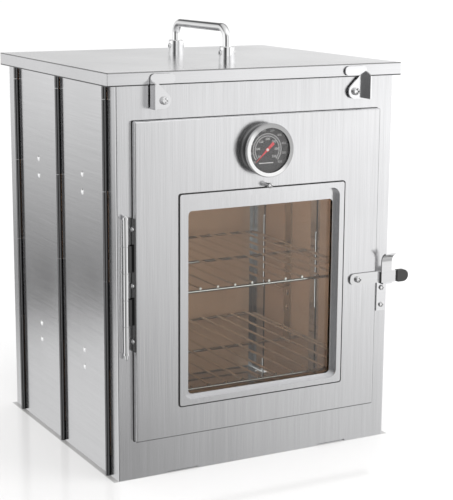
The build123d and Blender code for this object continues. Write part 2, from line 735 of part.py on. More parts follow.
# ---- Door hinge ------------------------------------------------------------------------------
hinge_x = door_span_x[0] - hinge_offset
hinge_y = front_face - hinge_stand
hinge_span = (hinge_bottom, hinge_bottom + hinge_length)
body_leaf = slab((hinge_x - hinge_leaf_width / 2, hinge_x + hinge_leaf_width / 2),
                 (front_face - hinge_sheet, front_face), hinge_span)
leaf_x = door_span_x[0] - hinge_sheet
arm_back = hinge_y + hinge_barrel / 2
door_leaf = slab((leaf_x, door_span_x[0]), (door_front + hinge_leaf_edge, door_back - door_gap),
                 hinge_span)
hinge_segment = hinge_length / hinge_knuckles
for index in range(hinge_knuckles):
    low = hinge_bottom + index * hinge_segment + (hinge_knuckle_gap / 2 if index else 0)
    high = hinge_bottom + (index + 1) * hinge_segment
    high -= hinge_knuckle_gap / 2 if index < hinge_knuckles - 1 else 0
    knuckle = rod((hinge_x, hinge_y, low), UP, hinge_barrel, high - low)
    if index % 2:
        door_leaf += knuckle + slab((hinge_x, door_span_x[0]), (arm_back - hinge_sheet, arm_back),
                                    (low, high))
    else:
        body_leaf += knuckle + slab((hinge_x - hinge_sheet / 2, hinge_x + hinge_sheet / 2),
                                    (hinge_y, front_face), (low, high))
hinge_bore = rod((hinge_x, hinge_y, hinge_bottom - through), UP, hinge_pin + 2 * hinge_clearance,
                 hinge_length + 2 * through)
body_leaf -= hinge_bore
door_leaf -= hinge_bore
hinge_screws = []
for z in hinge_screws_at:
    door_leaf -= rod((leaf_x - through, hinge_screw_y, z), RIGHT, hinge_screw_hole,
                     hinge_sheet + through)
    hinge_screws.append(screw((leaf_x, hinge_screw_y, z), LEFT, hinge_screw_shank, hinge_screw_length,
                              hinge_screw_head, hinge_screw_head_height))
pin = rod((hinge_x, hinge_y, hinge_bottom), UP, hinge_pin, hinge_length)
for end, along, reach in ((hinge_span[1], UP, hinge_tip_high), (hinge_span[0], DOWN, hinge_tip_low)):
    pin += rod((hinge_x, hinge_y, end), along, hinge_cap, hinge_cap_height)
    tip = end + along[2] * (hinge_cap_height + reach)
    pin += rod((hinge_x, hinge_y, end), along, hinge_tip, hinge_cap_height + reach)
    pin += Pos(hinge_x, hinge_y, tip) * Sphere(hinge_tip / 2)
save("door_hinge_body_leaf", body_leaf)
save("door_hinge_door_leaf", door_leaf)
save("door_hinge_pin", pin)
save("door_hinge_screws", Compound(children=hinge_screws))

# ---- Window ----------------------------------------------------------------------------------
window_frame = front_slab(plate_x, (plate_front, door_front), plate_z, window_corner)
window_frame += front_slab(outer_x, (door_front, ring_back), outer_z, recess_corner + recess_sheet)
window_frame -= front_slab(recess_x, (plate_front - through, ring_front), recess_z, recess_corner)
window_frame -= front_slab(sight_x, (ring_front - through, ring_back + through), sight_z, sight_corner)
save("window_frame", window_frame)

window_gasket = front_slab(pane_x, (ring_back, glass_front), pane_z, recess_corner)
window_gasket -= front_slab(seal_x, (ring_back - through, glass_front + through), seal_z, sight_corner)
save("window_gasket", window_gasket)
save("window_glass", front_slab(pane_x, (glass_front, glass_back), pane_z, recess_corner))

clamp_corner = recess_corner + recess_sheet + clamp_gap
clamp_back = glass_back + clamp_sheet
clamp = front_slab(grow(clamp_x, clamp_sheet + clamp_flange), (door_inner, door_inner + clamp_sheet),
                   grow(clamp_z, clamp_sheet + clamp_flange), clamp_corner + clamp_flange)
clamp += front_slab(grow(clamp_x, clamp_sheet), (door_inner, clamp_back), grow(clamp_z, clamp_sheet),
                    clamp_corner + clamp_sheet)
clamp -= front_slab(clamp_x, (door_inner - through, glass_back), clamp_z, clamp_corner)
clamp -= front_slab(seal_x, (glass_back - through, clamp_back + through), seal_z, sight_corner)
clamp_nuts = []
nut_seat = door_inner + clamp_sheet
stud_hole = stud_diameter + 2 * screw_clearance
for x, z in studs_at:
    clamp -= rod((x, door_inner - through, z), BACK, stud_hole, clamp_sheet + 2 * through)
    clamp_nuts.append(nut((x, nut_seat, z), BACK, clamp_nut_width, clamp_nut_height, stud_hole))
top_hole = top_screw_shank + 2 * screw_clearance
clamp -= rod((top_screw_x, door_inner - through, top_screw_z), BACK, top_hole, clamp_sheet + 2 * through)
save("window_clamp_frame", clamp)
save("window_clamp_nuts", Compound(children=clamp_nuts))

post_front = door_front - top_post_height
top_screw = screw((top_screw_x, post_front, top_screw_z), FRONT, top_screw_shank,
                  nut_seat + clamp_nut_height - post_front, top_screw_head, top_screw_head_height)
top_screw += tube((top_screw_x, door_front, top_screw_z), FRONT, top_post_diameter, top_screw_shank,
                  top_post_height)
save("window_top_screw", top_screw)
save("window_top_nut", nut((top_screw_x, nut_seat, top_screw_z), BACK, clamp_nut_width,
                           clamp_nut_height, top_hole))

# ---- Thermometer -----------------------------------------------------------------------------
case_front = door_front - case_length
dial_back = case_front + dial_depth
dial_front = dial_back - dial_sheet
floor_front = door_front - case_back
cavity = case_diameter - 2 * case_wall


def gauge(y):
    """A point on the thermometer's centre line."""
    return (gauge_x, y, gauge_z)


case = rod(gauge(door_front), FRONT, case_diameter, case_length)
case -= rod(gauge(dial_back), FRONT, cavity, dial_depth + through)
case -= rod(gauge(floor_front), FRONT, cavity - 2 * dial_ledge, floor_front - dial_back)
case -= rod(gauge(door_front + through), FRONT, stem_thread + 2 * screw_clearance, case_back + 2 * through)
save("thermometer_case", case)

lens_front = case_front - lens
bezel_front = lens_front - bezel_lip
bezel = rod(gauge(bezel_front), BACK, case_diameter + 2 * bezel_rim, bezel_lip + lens + bezel_skirt)
bezel = fillet(bezel.edges().group_by(Axis.Y)[0], bezel_lip)
bezel -= rod(gauge(bezel_front - through), BACK, case_diameter - 2 * bezel_cover,
             bezel_lip + 2 * through)
bezel -= rod(gauge(lens_front), BACK, case_diameter + 2 * bezel_clearance, lens + bezel_skirt + through)
save("thermometer_bezel", bezel)
save("thermometer_lens", rod(gauge(case_front), FRONT, case_diameter - 2 * lens_gap, lens))

spindle_hole = spindle_diameter + 2 * spindle_clearance
save("thermometer_dial", tube(gauge(dial_back), FRONT, cavity - 2 * lens_gap, spindle_hole, dial_sheet))

needle_back = dial_front - needle_lift
needle_plane = Plane(gauge(needle_back), x_dir=(cos(radians(needle_angle)), 0, sin(radians(needle_angle))),
                     z_dir=FRONT)
pointer = Polygon((-needle_tail, -needle_tail_width / 2), (0, -needle_width / 2), (needle_length, 0),
                  (0, needle_width / 2), (-needle_tail, needle_tail_width / 2), align=None)
needle = extrude(needle_plane * (pointer + Circle(needle_hub / 2)), needle_sheet)
needle += rod(gauge(needle_back - needle_sheet), BACK, spindle_diameter, spindle_length)
save("thermometer_needle", needle)

stem = rod(gauge(floor_front), FRONT, stem_hub, stem_hub_length)
stem += rod(gauge(floor_front), BACK, stem_thread, stem_thread_length)
stem += rod(gauge(floor_front), BACK, stem_diameter, stem_reach)
stem += Pos(*gauge(floor_front + stem_reach)) * Sphere(stem_diameter / 2)
stem -= rod(gauge(floor_front), FRONT, spindle_hole, stem_hub_length + through)
save("thermometer_stem", stem)
save("thermometer_nut", nut(gauge(door_inner), BACK, gauge_nut_width, gauge_nut_height,
                            stem_thread + 2 * screw_clearance))

# ---- Door latch ------------------------------------------------------------------------------
lever_back = door_front - lever_washer - lever_side_gap
lever_front = lever_back - lever_sheet
lever_x = (lever_pivot_x - lever_left, lever_pivot_x + lever_right)
lever_z = (lever_pivot_z - lever_height / 2, lever_pivot_z + lever_height / 2)
lever_seat = lever_front - lever_side_gap


def lever_axis(y):
    """A point on the door latch's pivot."""
    return (lever_pivot_x, y, lever_pivot_z)


lever_outline = front_slab(lever_x, (lever_front - lever_joggle_depth, lever_back), lever_z, lever_corner)
inner_end = lever_pivot_x + lever_joggle_start
outer_start = inner_end + lever_joggle_length
ends = (lever_x[0] - through, lever_x[1] + through)
lever_section = Polygon((ends[0], lever_front), (inner_end, lever_front),
                        (outer_start, lever_front - lever_joggle_depth),
                        (ends[1], lever_front - lever_joggle_depth),
                        (ends[1], lever_back - lever_joggle_depth),
                        (outer_start + lever_sheet, lever_back - lever_joggle_depth),
                        (inner_end + lever_sheet, lever_back), (ends[0], lever_back), align=None)
lever_blank = extrude(Plane((0, 0, lever_z[0])) * lever_section, lever_z[1] - lever_z[0]) & lever_outline
tab_mid = lever_front - lever_joggle_depth + lever_sheet / 2
curl_z = lever_z[1] + thumb_tab_rise
line = Line((tab_mid, lever_z[1] - thumb_lap), (tab_mid, curl_z))
curl = CenterArc((tab_mid - thumb_curl, curl_z), thumb_curl, 0, thumb_curl_angle)
tab_plane = Plane((outer_start, 0, 0), x_dir=BACK, z_dir=RIGHT)
lever = lever_blank + extrude(tab_plane * trace([line, curl], lever_sheet), thumb_tab_width)
lever -= rod(lever_axis(lever_back + through), FRONT, lever_screw_shank + 2 * turn_clearance,
             lever_sheet + 2 * through)
save("door_latch_lever", lever)

grip_x = (lever_pivot_x + grip_start, lever_pivot_x + grip_start + grip_length)
grip = slab(grip_x, (tab_mid - grip_depth / 2, tab_mid + grip_depth / 2),
            (lever_pivot_z - grip_height / 2, lever_pivot_z + grip_height / 2))
for end, radius in ((-1, grip_end), (0, grip_corner)):
    grip = fillet(grip.edges().filter_by(Axis.Y).group_by(Axis.X)[end], radius)
save("door_latch_grip", grip - lever_blank)

save("door_latch_washer", tube(lever_axis(door_front), FRONT, lever_washer_diameter,
                               lever_screw_shank + 2 * screw_clearance, lever_washer))
save("door_latch_screw", screw(lever_axis(lever_seat), FRONT, lever_screw_shank,
                               door_inner + lever_nut_height - lever_seat, lever_screw_head,
                               lever_screw_head_height))
save("door_latch_nut", nut(lever_axis(door_inner), BACK, lever_nut_width, lever_nut_height,
                           lever_screw_shank + 2 * screw_clearance))

# ---- Strike plate on the front wall ------------------------------------------------------------
strike_face = front_face - strike_sheet
strike = slab(strike_x, (strike_face, front_face), (strike_bottom, strike_top))
strike += slab(strike_x, (tab_mid, front_face), (strike_top - shelf_sheet, strike_top))
strike_screws = []
for z in strike_screws_at:
    strike -= rod((strike_screw_x, strike_face - through, z), BACK,
                  strike_screw_shank + 2 * screw_clearance, strike_sheet + 2 * through)
    strike_screws.append(screw((strike_screw_x, strike_face, z), FRONT, strike_screw_shank,
                               strike_screw_length, strike_screw_head, strike_screw_head_height))
save("door_strike_plate", strike)
save("door_strike_screws", Compound(children=strike_screws))
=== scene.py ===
"""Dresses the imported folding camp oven: finishes, dial print, seals, stage, lights and camera."""

import logging
import math
from dataclasses import dataclass, field, replace
from enum import Enum

import bmesh
import bpy
from mathutils import Matrix, Vector

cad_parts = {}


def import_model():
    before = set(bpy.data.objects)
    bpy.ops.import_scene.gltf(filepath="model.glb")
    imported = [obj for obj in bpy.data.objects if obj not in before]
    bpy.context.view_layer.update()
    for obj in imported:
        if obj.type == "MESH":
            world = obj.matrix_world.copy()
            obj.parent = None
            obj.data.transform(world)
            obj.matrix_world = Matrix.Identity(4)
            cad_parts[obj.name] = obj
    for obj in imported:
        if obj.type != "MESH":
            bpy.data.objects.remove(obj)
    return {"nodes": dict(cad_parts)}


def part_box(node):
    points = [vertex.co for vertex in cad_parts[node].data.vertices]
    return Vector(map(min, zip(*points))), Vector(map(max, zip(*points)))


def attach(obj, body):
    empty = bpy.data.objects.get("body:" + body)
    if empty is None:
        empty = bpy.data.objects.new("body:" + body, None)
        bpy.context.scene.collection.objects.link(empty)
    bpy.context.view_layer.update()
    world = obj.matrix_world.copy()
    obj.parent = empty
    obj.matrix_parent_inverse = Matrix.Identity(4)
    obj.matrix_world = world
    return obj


LOG = logging.getLogger("camp_oven")
MM = 0.001
EVEN = (1.0, 1.0, 1.0)      # stretch of a pattern that has no direction
UNIT = (0.0, 1.0)
NOISE_RANGE = (0.3, 0.7)    # where nearly all of a noise pattern lies


class Grain(Enum):
    """Direction that a brushed finish runs in, as the stretch of its pattern along X, Y and Z."""

    UPRIGHT = (1.0, 1.0, 0.012)
    ACROSS = (0.012, 1.0, 1.0)
    DEEP = (1.0, 0.012, 1.0)


def new_material(name: str) -> tuple[bpy.types.Material, bpy.types.NodeTree, bpy.types.Node]:
    """Makes an empty node material with a Principled shader.

    Args:
        name: The material's name.

    Returns:
        The material, its node tree and its Principled node.
    """
    material = bpy.data.materials.new(name)
    material.use_nodes = True
    tree = material.node_tree
    tree.nodes.clear()
    output = tree.nodes.new("ShaderNodeOutputMaterial")
    shader = tree.nodes.new("ShaderNodeBsdfPrincipled")
    tree.links.new(shader.outputs["BSDF"], output.inputs["Surface"])
    return material, tree, shader


def object_noise(tree: bpy.types.NodeTree, stretch: tuple[float, float, float], scale: float,
                 detail: float = 2.0) -> bpy.types.NodeSocket:
    """Adds a noise pattern on Object coordinates.

    Args:
        tree: The node tree to add to.
        stretch: Scale of the pattern along each axis before the noise.
        scale: Noise scale, in turns per metre.
        detail: Noise detail.

    Returns:
        The noise's factor output.
    """
    coords = tree.nodes.new("ShaderNodeTexCoord")
    mapping = tree.nodes.new("ShaderNodeMapping")
    mapping.inputs["Scale"].default_value = stretch
    noise = tree.nodes.new("ShaderNodeTexNoise")
    noise.inputs["Scale"].default_value = scale
    noise.inputs["Detail"].default_value = detail
    tree.links.new(coords.outputs["Object"], mapping.inputs["Vector"])
    tree.links.new(mapping.outputs["Vector"], noise.inputs["Vector"])
    return noise.outputs["Fac"]


def remap(tree: bpy.types.NodeTree, value: bpy.types.NodeSocket, source: tuple[float, float],
          target: tuple[float, float]) -> bpy.types.NodeSocket:
    """Maps a value from one range to another, clamped.

    Args:
        tree: The node tree to add to.
        value: The socket to map.
        source: The low and high input.
        target: The low and high output.

    Returns:
        The mapped value's output.
    """
    node = tree.nodes.new("ShaderNodeMapRange")
    node.inputs["From Min"].default_value, node.inputs["From Max"].default_value = source
    node.inputs["To Min"].default_value, node.inputs["To Max"].default_value = target
    tree.links.new(value, node.inputs["Value"])
    return node.outputs["Result"]


def calc(tree: bpy.types.NodeTree, operation: str, value: bpy.types.NodeSocket,
         other: bpy.types.NodeSocket | float | None = None) -> bpy.types.NodeSocket:
    """Works a value out from one or two others.

    Args:
        tree: The node tree to add to.
        operation: The Math node's operation.
        value: Its first value.
        other: Its second value, as a socket or a number, or None where it takes one value.

    Returns:
        The result's output.
    """
    node = tree.nodes.new("ShaderNodeMath")
    node.operation = operation
    tree.links.new(value, node.inputs[0])
    if isinstance(other, bpy.types.NodeSocket):
        tree.links.new(other, node.inputs[1])
    elif other is not None:
        node.inputs[1].default_value = other
    return node.outputs[0]


def axes(tree: bpy.types.NodeTree, source: str = "Object") -> tuple[bpy.types.NodeSocket, ...]:
    """Adds texture coordinates, split into X, Y and Z.

    Args:
        tree: The node tree to add to.
        source: The coordinates' name.

    Returns:
        The three outputs.
    """
    coords = tree.nodes.new("ShaderNodeTexCoord")
    split = tree.nodes.new("ShaderNodeSeparateXYZ")
    tree.links.new(coords.outputs[source], split.inputs["Vector"])
    return tuple(split.outputs)


def colour_mix(tree: bpy.types.NodeTree, factor: bpy.types.NodeSocket, low: tuple[float, ...],
               high: tuple[float, ...]) -> bpy.types.NodeSocket:
    """Mixes two colours by a factor.

    Args:
        tree: The node tree to add to.
        factor: The factor's socket.
        low: Colour at 0.
        high: Colour at 1.

    Returns:
        The mixed colour's output.
    """
    node = tree.nodes.new("ShaderNodeMix")
    node.data_type = "RGBA"
    node.inputs[6].default_value = (*low, 1.0)
    node.inputs[7].default_value = (*high, 1.0)
    tree.links.new(factor, node.inputs[0])
    return node.outputs[2]


@dataclass(frozen=True)
class PaintedShadeBand:
    """Dark band of painted shade across one axis."""

    axis: int
    middle: float
    reach: float
    level: float
    soft: float = 0.3 * MM

    def darken(self, tree: bpy.types.NodeTree, colour: bpy.types.NodeSocket) -> bpy.types.NodeSocket:
        """Darkens a colour within the band.

        Args:
            tree: The node tree to add to.
            colour: The steel's own colour.

        Returns:
            The darkened colour.
        """
        away = calc(tree, "ABSOLUTE", calc(tree, "SUBTRACT", axes(tree)[self.axis], self.middle))
        share = remap(tree, away, (self.reach - self.soft, self.reach), (self.level, 1.0))
        dark = tree.nodes.new("ShaderNodeVectorMath")
        dark.operation = "SCALE"
        tree.links.new(colour, dark.inputs[0])
        tree.links.new(share, dark.inputs["Scale"])
        return dark.outputs["Vector"]


@dataclass(frozen=True)
class BrushedSteel:
    """Stainless sheet with a fine directional grain, faint cloudy wear, an optional heat tint and
    optional bands of painted shade.

    Where the sheet is tinted, its two ranges give how far from the middle the tint lies across the oven
    and in depth.
    """

    name: str
    grain: Grain
    colour: tuple[float, float, float]
    roughness: float
    contrast: float = 0.10
    relief: float = 0.06
    tinted: tuple[tuple[float, float], tuple[float, float]] | None = None
    painted_shades: tuple[PaintedShadeBand, ...] = ()
    fine_scale: float = 1500.0
    coarse_scale: float = 230.0
    coarse_share: float = 0.6
    grain_range: tuple[float, float] = (0.45, 1.15)
    lift: float = 0.4
    cloud_scale: float = 9.0
    relief_height: float = 0.4 * MM
    tint_level: tuple[float, float] = (3.0 * MM, 3.5 * MM)
    tint_scale: float = 14.0
    tint_dark: tuple[float, float, float] = (0.56, 0.37, 0.25)
    tint_pale: tuple[float, float, float] = (0.92, 0.69, 0.51)
    tint_metallic: float = 0.45

    def material(self) -> bpy.types.Material:
        """Builds the finish's node material.

        Returns:
            The material.
        """
        material, tree, shader = new_material(self.name)
        fine = object_noise(tree, self.grain.value, self.fine_scale, 3.0)
        coarse = object_noise(tree, self.grain.value, self.coarse_scale)
        cloud = object_noise(tree, EVEN, self.cloud_scale, 3.0)
        add = tree.nodes.new("ShaderNodeMath")
        add.operation = "MULTIPLY_ADD"
        tree.links.new(coarse, add.inputs[0])
        add.inputs[1].default_value = self.coarse_share
        tree.links.new(fine, add.inputs[2])
        light = remap(tree, add.outputs[0], self.grain_range,
                      (1.0 - self.contrast, 1.0 + self.contrast * self.lift))
        base = tree.nodes.new("ShaderNodeVectorMath")
        base.operation = "SCALE"
        base.inputs[0].default_value = self.colour
        tree.links.new(light, base.inputs["Scale"])
        colour = base.outputs["Vector"]
        shader.inputs["Metallic"].default_value = 1.0
        if self.tinted is not None:
            inside = self.inside(tree)
            colour = self.tint(tree, colour, inside)
            tree.links.new(remap(tree, inside, UNIT, (1.0, self.tint_metallic)),
                           shader.inputs["Metallic"])
        # bands of painted shade darken the colour
        for shade in self.painted_shades:
            colour = shade.darken(tree, colour)
        tree.links.new(colour, shader.inputs["Base Color"])
        rough = remap(tree, cloud, NOISE_RANGE, (self.roughness - 0.03, self.roughness + 0.04))
        tree.links.new(rough, shader.inputs["Roughness"])
        bump = tree.nodes.new("ShaderNodeBump")
        bump.inputs["Strength"].default_value = self.relief
        bump.inputs["Distance"].default_value = self.relief_height
        tree.links.new(add.outputs[0], bump.inputs["Height"])
        tree.links.new(bump.outputs["Normal"], shader.inputs["Normal"])
        return material

    def inside(self, tree: bpy.types.NodeTree) -> bpy.types.NodeSocket:
        """Tells the faces inside the oven from those outside.

        Args:
            tree: The node tree to add to.

        Returns:
            A value that is 1 inside and 0 outside.
        """
        across, deep, high = axes(tree)
        inside = remap(tree, high, self.tint_level, UNIT)
        for place, (near, far) in zip((across, deep), self.tinted):
            away = calc(tree, "ABSOLUTE", place)
            for operation, limit in (("GREATER_THAN", near), ("LESS_THAN", far)):
                inside = calc(tree, "MULTIPLY", inside, calc(tree, operation, away, limit))
        return inside

    def tint(self, tree: bpy.types.NodeTree, colour: bpy.types.NodeSocket,
             inside: bpy.types.NodeSocket) -> bpy.types.NodeSocket:
        """Turns the steel straw brown inside the oven, where it has been heated.

        Args:
            tree: The node tree to add to.
            colour: The steel's own colour.
            inside: The value that is 1 inside the oven.

        Returns:
            The tinted colour.
        """
        patches = object_noise(tree, EVEN, self.tint_scale, 4.0)
        shade = colour_mix(tree, patches, self.tint_dark, self.tint_pale)
        tinted = tree.nodes.new("ShaderNodeMix")
        tinted.data_type = "RGBA"
        tinted.blend_type = "MULTIPLY"
        tree.links.new(inside, tinted.inputs[0])
        tree.links.new(colour, tinted.inputs[6])
        tree.links.new(shade, tinted.inputs[7])
        return tinted.outputs[2]


@dataclass(frozen=True)
class Polished:
    """Chrome or bright stainless with faint smudges."""

    name: str
    colour: tuple[float, float, float]
    roughness: float
    smudge_scale: float = 120.0
    smudge_level: float = 0.93

    def material(self) -> bpy.types.Material:
        """Builds the finish's node material.

        Returns:
            The material.
        """
        material, tree, shader = new_material(self.name)
        smudge = object_noise(tree, EVEN, self.smudge_scale, 3.0)
        tone = colour_mix(tree, smudge, tuple(self.smudge_level * c for c in self.colour), self.colour)
        tree.links.new(tone, shader.inputs["Base Color"])
        tree.links.new(remap(tree, smudge, NOISE_RANGE, (self.roughness, self.roughness + 0.03)),
                       shader.inputs["Roughness"])
        shader.inputs["Metallic"].default_value = 1.0
        return material


@dataclass(frozen=True)
class PaintedLightMetal:
    """Metal with painted light and shade: its brightness follows one direction of the object."""

    name: str
    along: tuple[float, float, float]
    stops: tuple[tuple[float, float], ...]
    start: float
    end: float
    roughness: float
    smudge_scale: float = 150.0

    def material(self) -> bpy.types.Material:
        """Builds the finish's node material.

        Returns:
            The material.
        """
        material, tree, shader = new_material(self.name)
        coords = tree.nodes.new("ShaderNodeTexCoord")
        reach = tree.nodes.new("ShaderNodeVectorMath")
        reach.operation = "DOT_PRODUCT"
        reach.inputs[1].default_value = self.along
        tree.links.new(coords.outputs["Object"], reach.inputs[0])
        place = remap(tree, reach.outputs["Value"], (self.start, self.end), UNIT)
        ramp = tree.nodes.new("ShaderNodeValToRGB")
        elements = ramp.color_ramp.elements
        for index, (share, level) in enumerate(self.stops):
            element = elements[index] if index < 2 else elements.new(share)
            element.position = share
            element.color = (level, level, level, 1.0)
        tree.links.new(place, ramp.inputs["Fac"])
        tree.links.new(ramp.outputs["Color"], shader.inputs["Base Color"])
        smudge = object_noise(tree, EVEN, self.smudge_scale, 3.0)
        tree.links.new(remap(tree, smudge, NOISE_RANGE, (self.roughness, self.roughness + 0.04)),
                       shader.inputs["Roughness"])
        shader.inputs["Metallic"].default_value = 1.0
        return material


@dataclass(frozen=True)
class Coated:
    """Paint, print, moulded plastic or rubber with a fine texture."""

    name: str
    colour: tuple[float, float, float]
    roughness: float
    variation: float = 0.15
    scale: float = 900.0
    relief: float = 0.15
    relief_height: float = 0.2 * MM

    def material(self) -> bpy.types.Material:
        """Builds the finish's node material.

        Returns:
            The material.
        """
        material, tree, shader = new_material(self.name)
        speck = object_noise(tree, EVEN, self.scale, 3.0)
        dark = tuple(c * (1.0 - self.variation) for c in self.colour)
        tone = colour_mix(tree, speck, dark, self.colour)
        tree.links.new(tone, shader.inputs["Base Color"])
        tree.links.new(remap(tree, speck, NOISE_RANGE, (self.roughness - 0.05, self.roughness + 0.08)),
                       shader.inputs["Roughness"])
        bump = tree.nodes.new("ShaderNodeBump")
        bump.inputs["Strength"].default_value = self.relief
        bump.inputs["Distance"].default_value = self.relief_height
        tree.links.new(speck, bump.inputs["Height"])
        tree.links.new(bump.outputs["Normal"], shader.inputs["Normal"])
        return material


@dataclass(frozen=True)
class ClearPane:
    """Clear glass that lets light straight through and mirrors at a glancing angle."""

    name: str
    colour: tuple[float, float, float] = (0.96, 0.97, 0.96)
    ior: float = 1.45
    haze: float = 0.02
    smear_scale: float = 30.0
    smear_level: float = 0.985

    def material(self) -> bpy.types.Material:
        """Builds the finish's node material.

        Returns:
            The material.
        """
        material = bpy.data.materials.new(self.name)
        material.use_nodes = True
        tree = material.node_tree
        tree.nodes.clear()
        output = tree.nodes.new("ShaderNodeOutputMaterial")
        clear = tree.nodes.new("ShaderNodeBsdfTransparent")
        gloss = tree.nodes.new("ShaderNodeBsdfGlossy")
        fresnel = tree.nodes.new("ShaderNodeFresnel")
        mix = tree.nodes.new("ShaderNodeMixShader")
        smear = object_noise(tree, EVEN, self.smear_scale, 3.0)
        tone = colour_mix(tree, smear, tuple(self.smear_level * c for c in self.colour), self.colour)
        tree.links.new(tone, clear.inputs["Color"])
        tree.links.new(remap(tree, smear, NOISE_RANGE, (self.haze, self.haze + 0.03)),
                       gloss.inputs["Roughness"])
        fresnel.inputs["IOR"].default_value = self.ior
        tree.links.new(fresnel.outputs["Fac"], mix.inputs["Fac"])
        tree.links.new(clear.outputs["BSDF"], mix.inputs[1])
        tree.links.new(gloss.outputs["BSDF"], mix.inputs[2])
        tree.links.new(mix.outputs["Shader"], output.inputs["Surface"])
        return material


Finish = BrushedSteel | Polished | PaintedLightMetal | Coated | ClearPane

STEEL = BrushedSteel("steel_sheet", Grain.UPRIGHT, colour=(0.72, 0.72, 0.73), roughness=0.22,
                     tinted=((-1.0, 138.0 * MM), (-1.0, 131.25 * MM)))
SIDE_STEEL = BrushedSteel("side_steel", Grain.DEEP, colour=(0.72, 0.72, 0.73), roughness=0.15,
                          contrast=0.07, tinted=((-1.0, 143.25 * MM), (9.0 * MM, 121.0 * MM)))
DOOR_STEEL = BrushedSteel("door_steel", Grain.UPRIGHT, colour=(0.72, 0.72, 0.73), roughness=0.22)
FRAME_STEEL = BrushedSteel("window_frame_steel", Grain.UPRIGHT, colour=(0.72, 0.72, 0.73),
                           roughness=0.22, contrast=0.06)
LID_STEEL = BrushedSteel("lid_steel", Grain.ACROSS, colour=(0.72, 0.72, 0.73), roughness=0.20,
                         contrast=0.05)
SUPPORT_STEEL = BrushedSteel("support_steel", Grain.UPRIGHT, colour=(0.66, 0.56, 0.44), roughness=0.35)
LATCH_STEEL = BrushedSteel("latch_steel", Grain.ACROSS, colour=(0.74, 0.74, 0.75), roughness=0.12,
                           contrast=0.05, relief=0.02)
LEVER_STEEL = BrushedSteel("lever_steel", Grain.ACROSS, colour=(0.68, 0.68, 0.685), roughness=0.14,
                           contrast=0.05, relief=0.02)
HINGE_STEEL = BrushedSteel("hinge_steel", Grain.UPRIGHT, colour=(0.76, 0.76, 0.765), roughness=0.12,
                           contrast=0.05, relief=0.02)
# painted shade: the door leaf's arms are darkened between the hinge barrel and the door's side, where
# they lie in shade
HINGE_ARM_STEEL = BrushedSteel("hinge_arm_steel", Grain.UPRIGHT, colour=(0.76, 0.76, 0.765),
                               roughness=0.12, contrast=0.05, relief=0.02,
                               painted_shades=(PaintedShadeBand(0, -130.0 * MM, 5.4 * MM, 0.12),))
BRIGHT = Polished("bright_fixings", (0.78, 0.78, 0.785), 0.12)
CHROME = Polished("handle_chrome", (0.92, 0.92, 0.925), 0.015)
RACK_WIRE = Polished("rack_wire", (0.86, 0.84, 0.80), 0.12)
RIVET = Polished("rivet_heads", (0.95, 0.95, 0.955), 0.05)
GRIP = Coated("grip_black", (0.035, 0.035, 0.035), 0.45)
# black of the window gasket and of the dark edge strips; round the door the strip is painted shadow
SEAL_AND_SHADOW_BLACK = Coated("seal_and_shadow_black", (0.012, 0.012, 0.012), 0.6)
DIAL = Coated("gauge_dial", (0.075, 0.075, 0.078), 0.55)
PRINT = Coated("gauge_print", (0.90, 0.91, 0.92), 0.6)
PRINT_DIM = Coated("gauge_print_dim", (0.62, 0.63, 0.64), 0.6)
NEEDLE = Coated("gauge_needle", (0.90, 0.09, 0.11), 0.4)
HUB = Coated("gauge_hub", (0.95, 0.92, 0.90), 0.35)
PANE = ClearPane("oven_pane")
LENS = ClearPane("gauge_lens", (0.98, 0.98, 0.98))

NODE_FINISHES: dict[str, Finish] = {
    "floor_plate": STEEL,
    "front_corner_pins": BRIGHT, "rear_corner_pins": BRIGHT, "left_fold_pin": BRIGHT,
    "right_fold_pin": BRIGHT,
    "left_front_rack_support": SUPPORT_STEEL, "left_rear_rack_support": SUPPORT_STEEL,
    "right_front_rack_support": SUPPORT_STEEL, "right_rear_rack_support": SUPPORT_STEEL,
    "left_front_rivets": RIVET, "left_rear_rivets": RIVET, "right_front_rivets": RIVET,
    "right_rear_rivets": RIVET,
    "upper_rack": RACK_WIRE, "lower_rack": RACK_WIRE,
    "lid_handle_bar": CHROME, "lid_handle_collars": CHROME,
    "lid_handle_base_rings": CHROME, "lid_handle_set_screws": BRIGHT, "lid_handle_screws": BRIGHT,
    "lid_latch_left": LATCH_STEEL, "lid_latch_right": LATCH_STEEL, "lid_latch_screws": BRIGHT,
    "lid_latch_spacers": BRIGHT, "lid_latch_nuts": BRIGHT,
    "door_hinge_body_leaf": HINGE_STEEL, "door_hinge_door_leaf": HINGE_ARM_STEEL,
    "door_hinge_pin": BRIGHT, "door_hinge_screws": BRIGHT,
    "window_frame": FRAME_STEEL, "window_gasket": SEAL_AND_SHADOW_BLACK, "window_glass": PANE,
    "window_clamp_frame": SUPPORT_STEEL, "window_clamp_nuts": BRIGHT, "window_top_screw": BRIGHT,
    "window_top_nut": BRIGHT,
    "thermometer_lens": LENS, "thermometer_dial": DIAL, "thermometer_needle": NEEDLE,
    "thermometer_stem": BRIGHT, "thermometer_nut": BRIGHT,
    "door_latch_lever": LEVER_STEEL, "door_latch_grip": GRIP, "door_latch_washer": BRIGHT,
    "door_latch_screw": BRIGHT, "door_latch_nut": BRIGHT, "door_strike_plate": LATCH_STEEL,
    "door_strike_screws": BRIGHT,
}


class Finisher:
    """Builds each finish once and gives it to objects."""

    def __init__(self) -> None:
        """Starts with no finish built."""
        self.built: dict[str, bpy.types.Material] = {}

    def give(self, obj: bpy.types.Object, finish: Finish) -> None:
        """Puts one finish on an object.

        Args:
            obj: The object to dress.
            finish: The finish to build or reuse.
        """
        if finish.name not in self.built:
            self.built[finish.name] = finish.material()
        material = self.built[finish.name]
        if obj.material_slots:
            for slot in obj.material_slots:
                slot.material = material
        else:
            obj.data.materials.append(material)


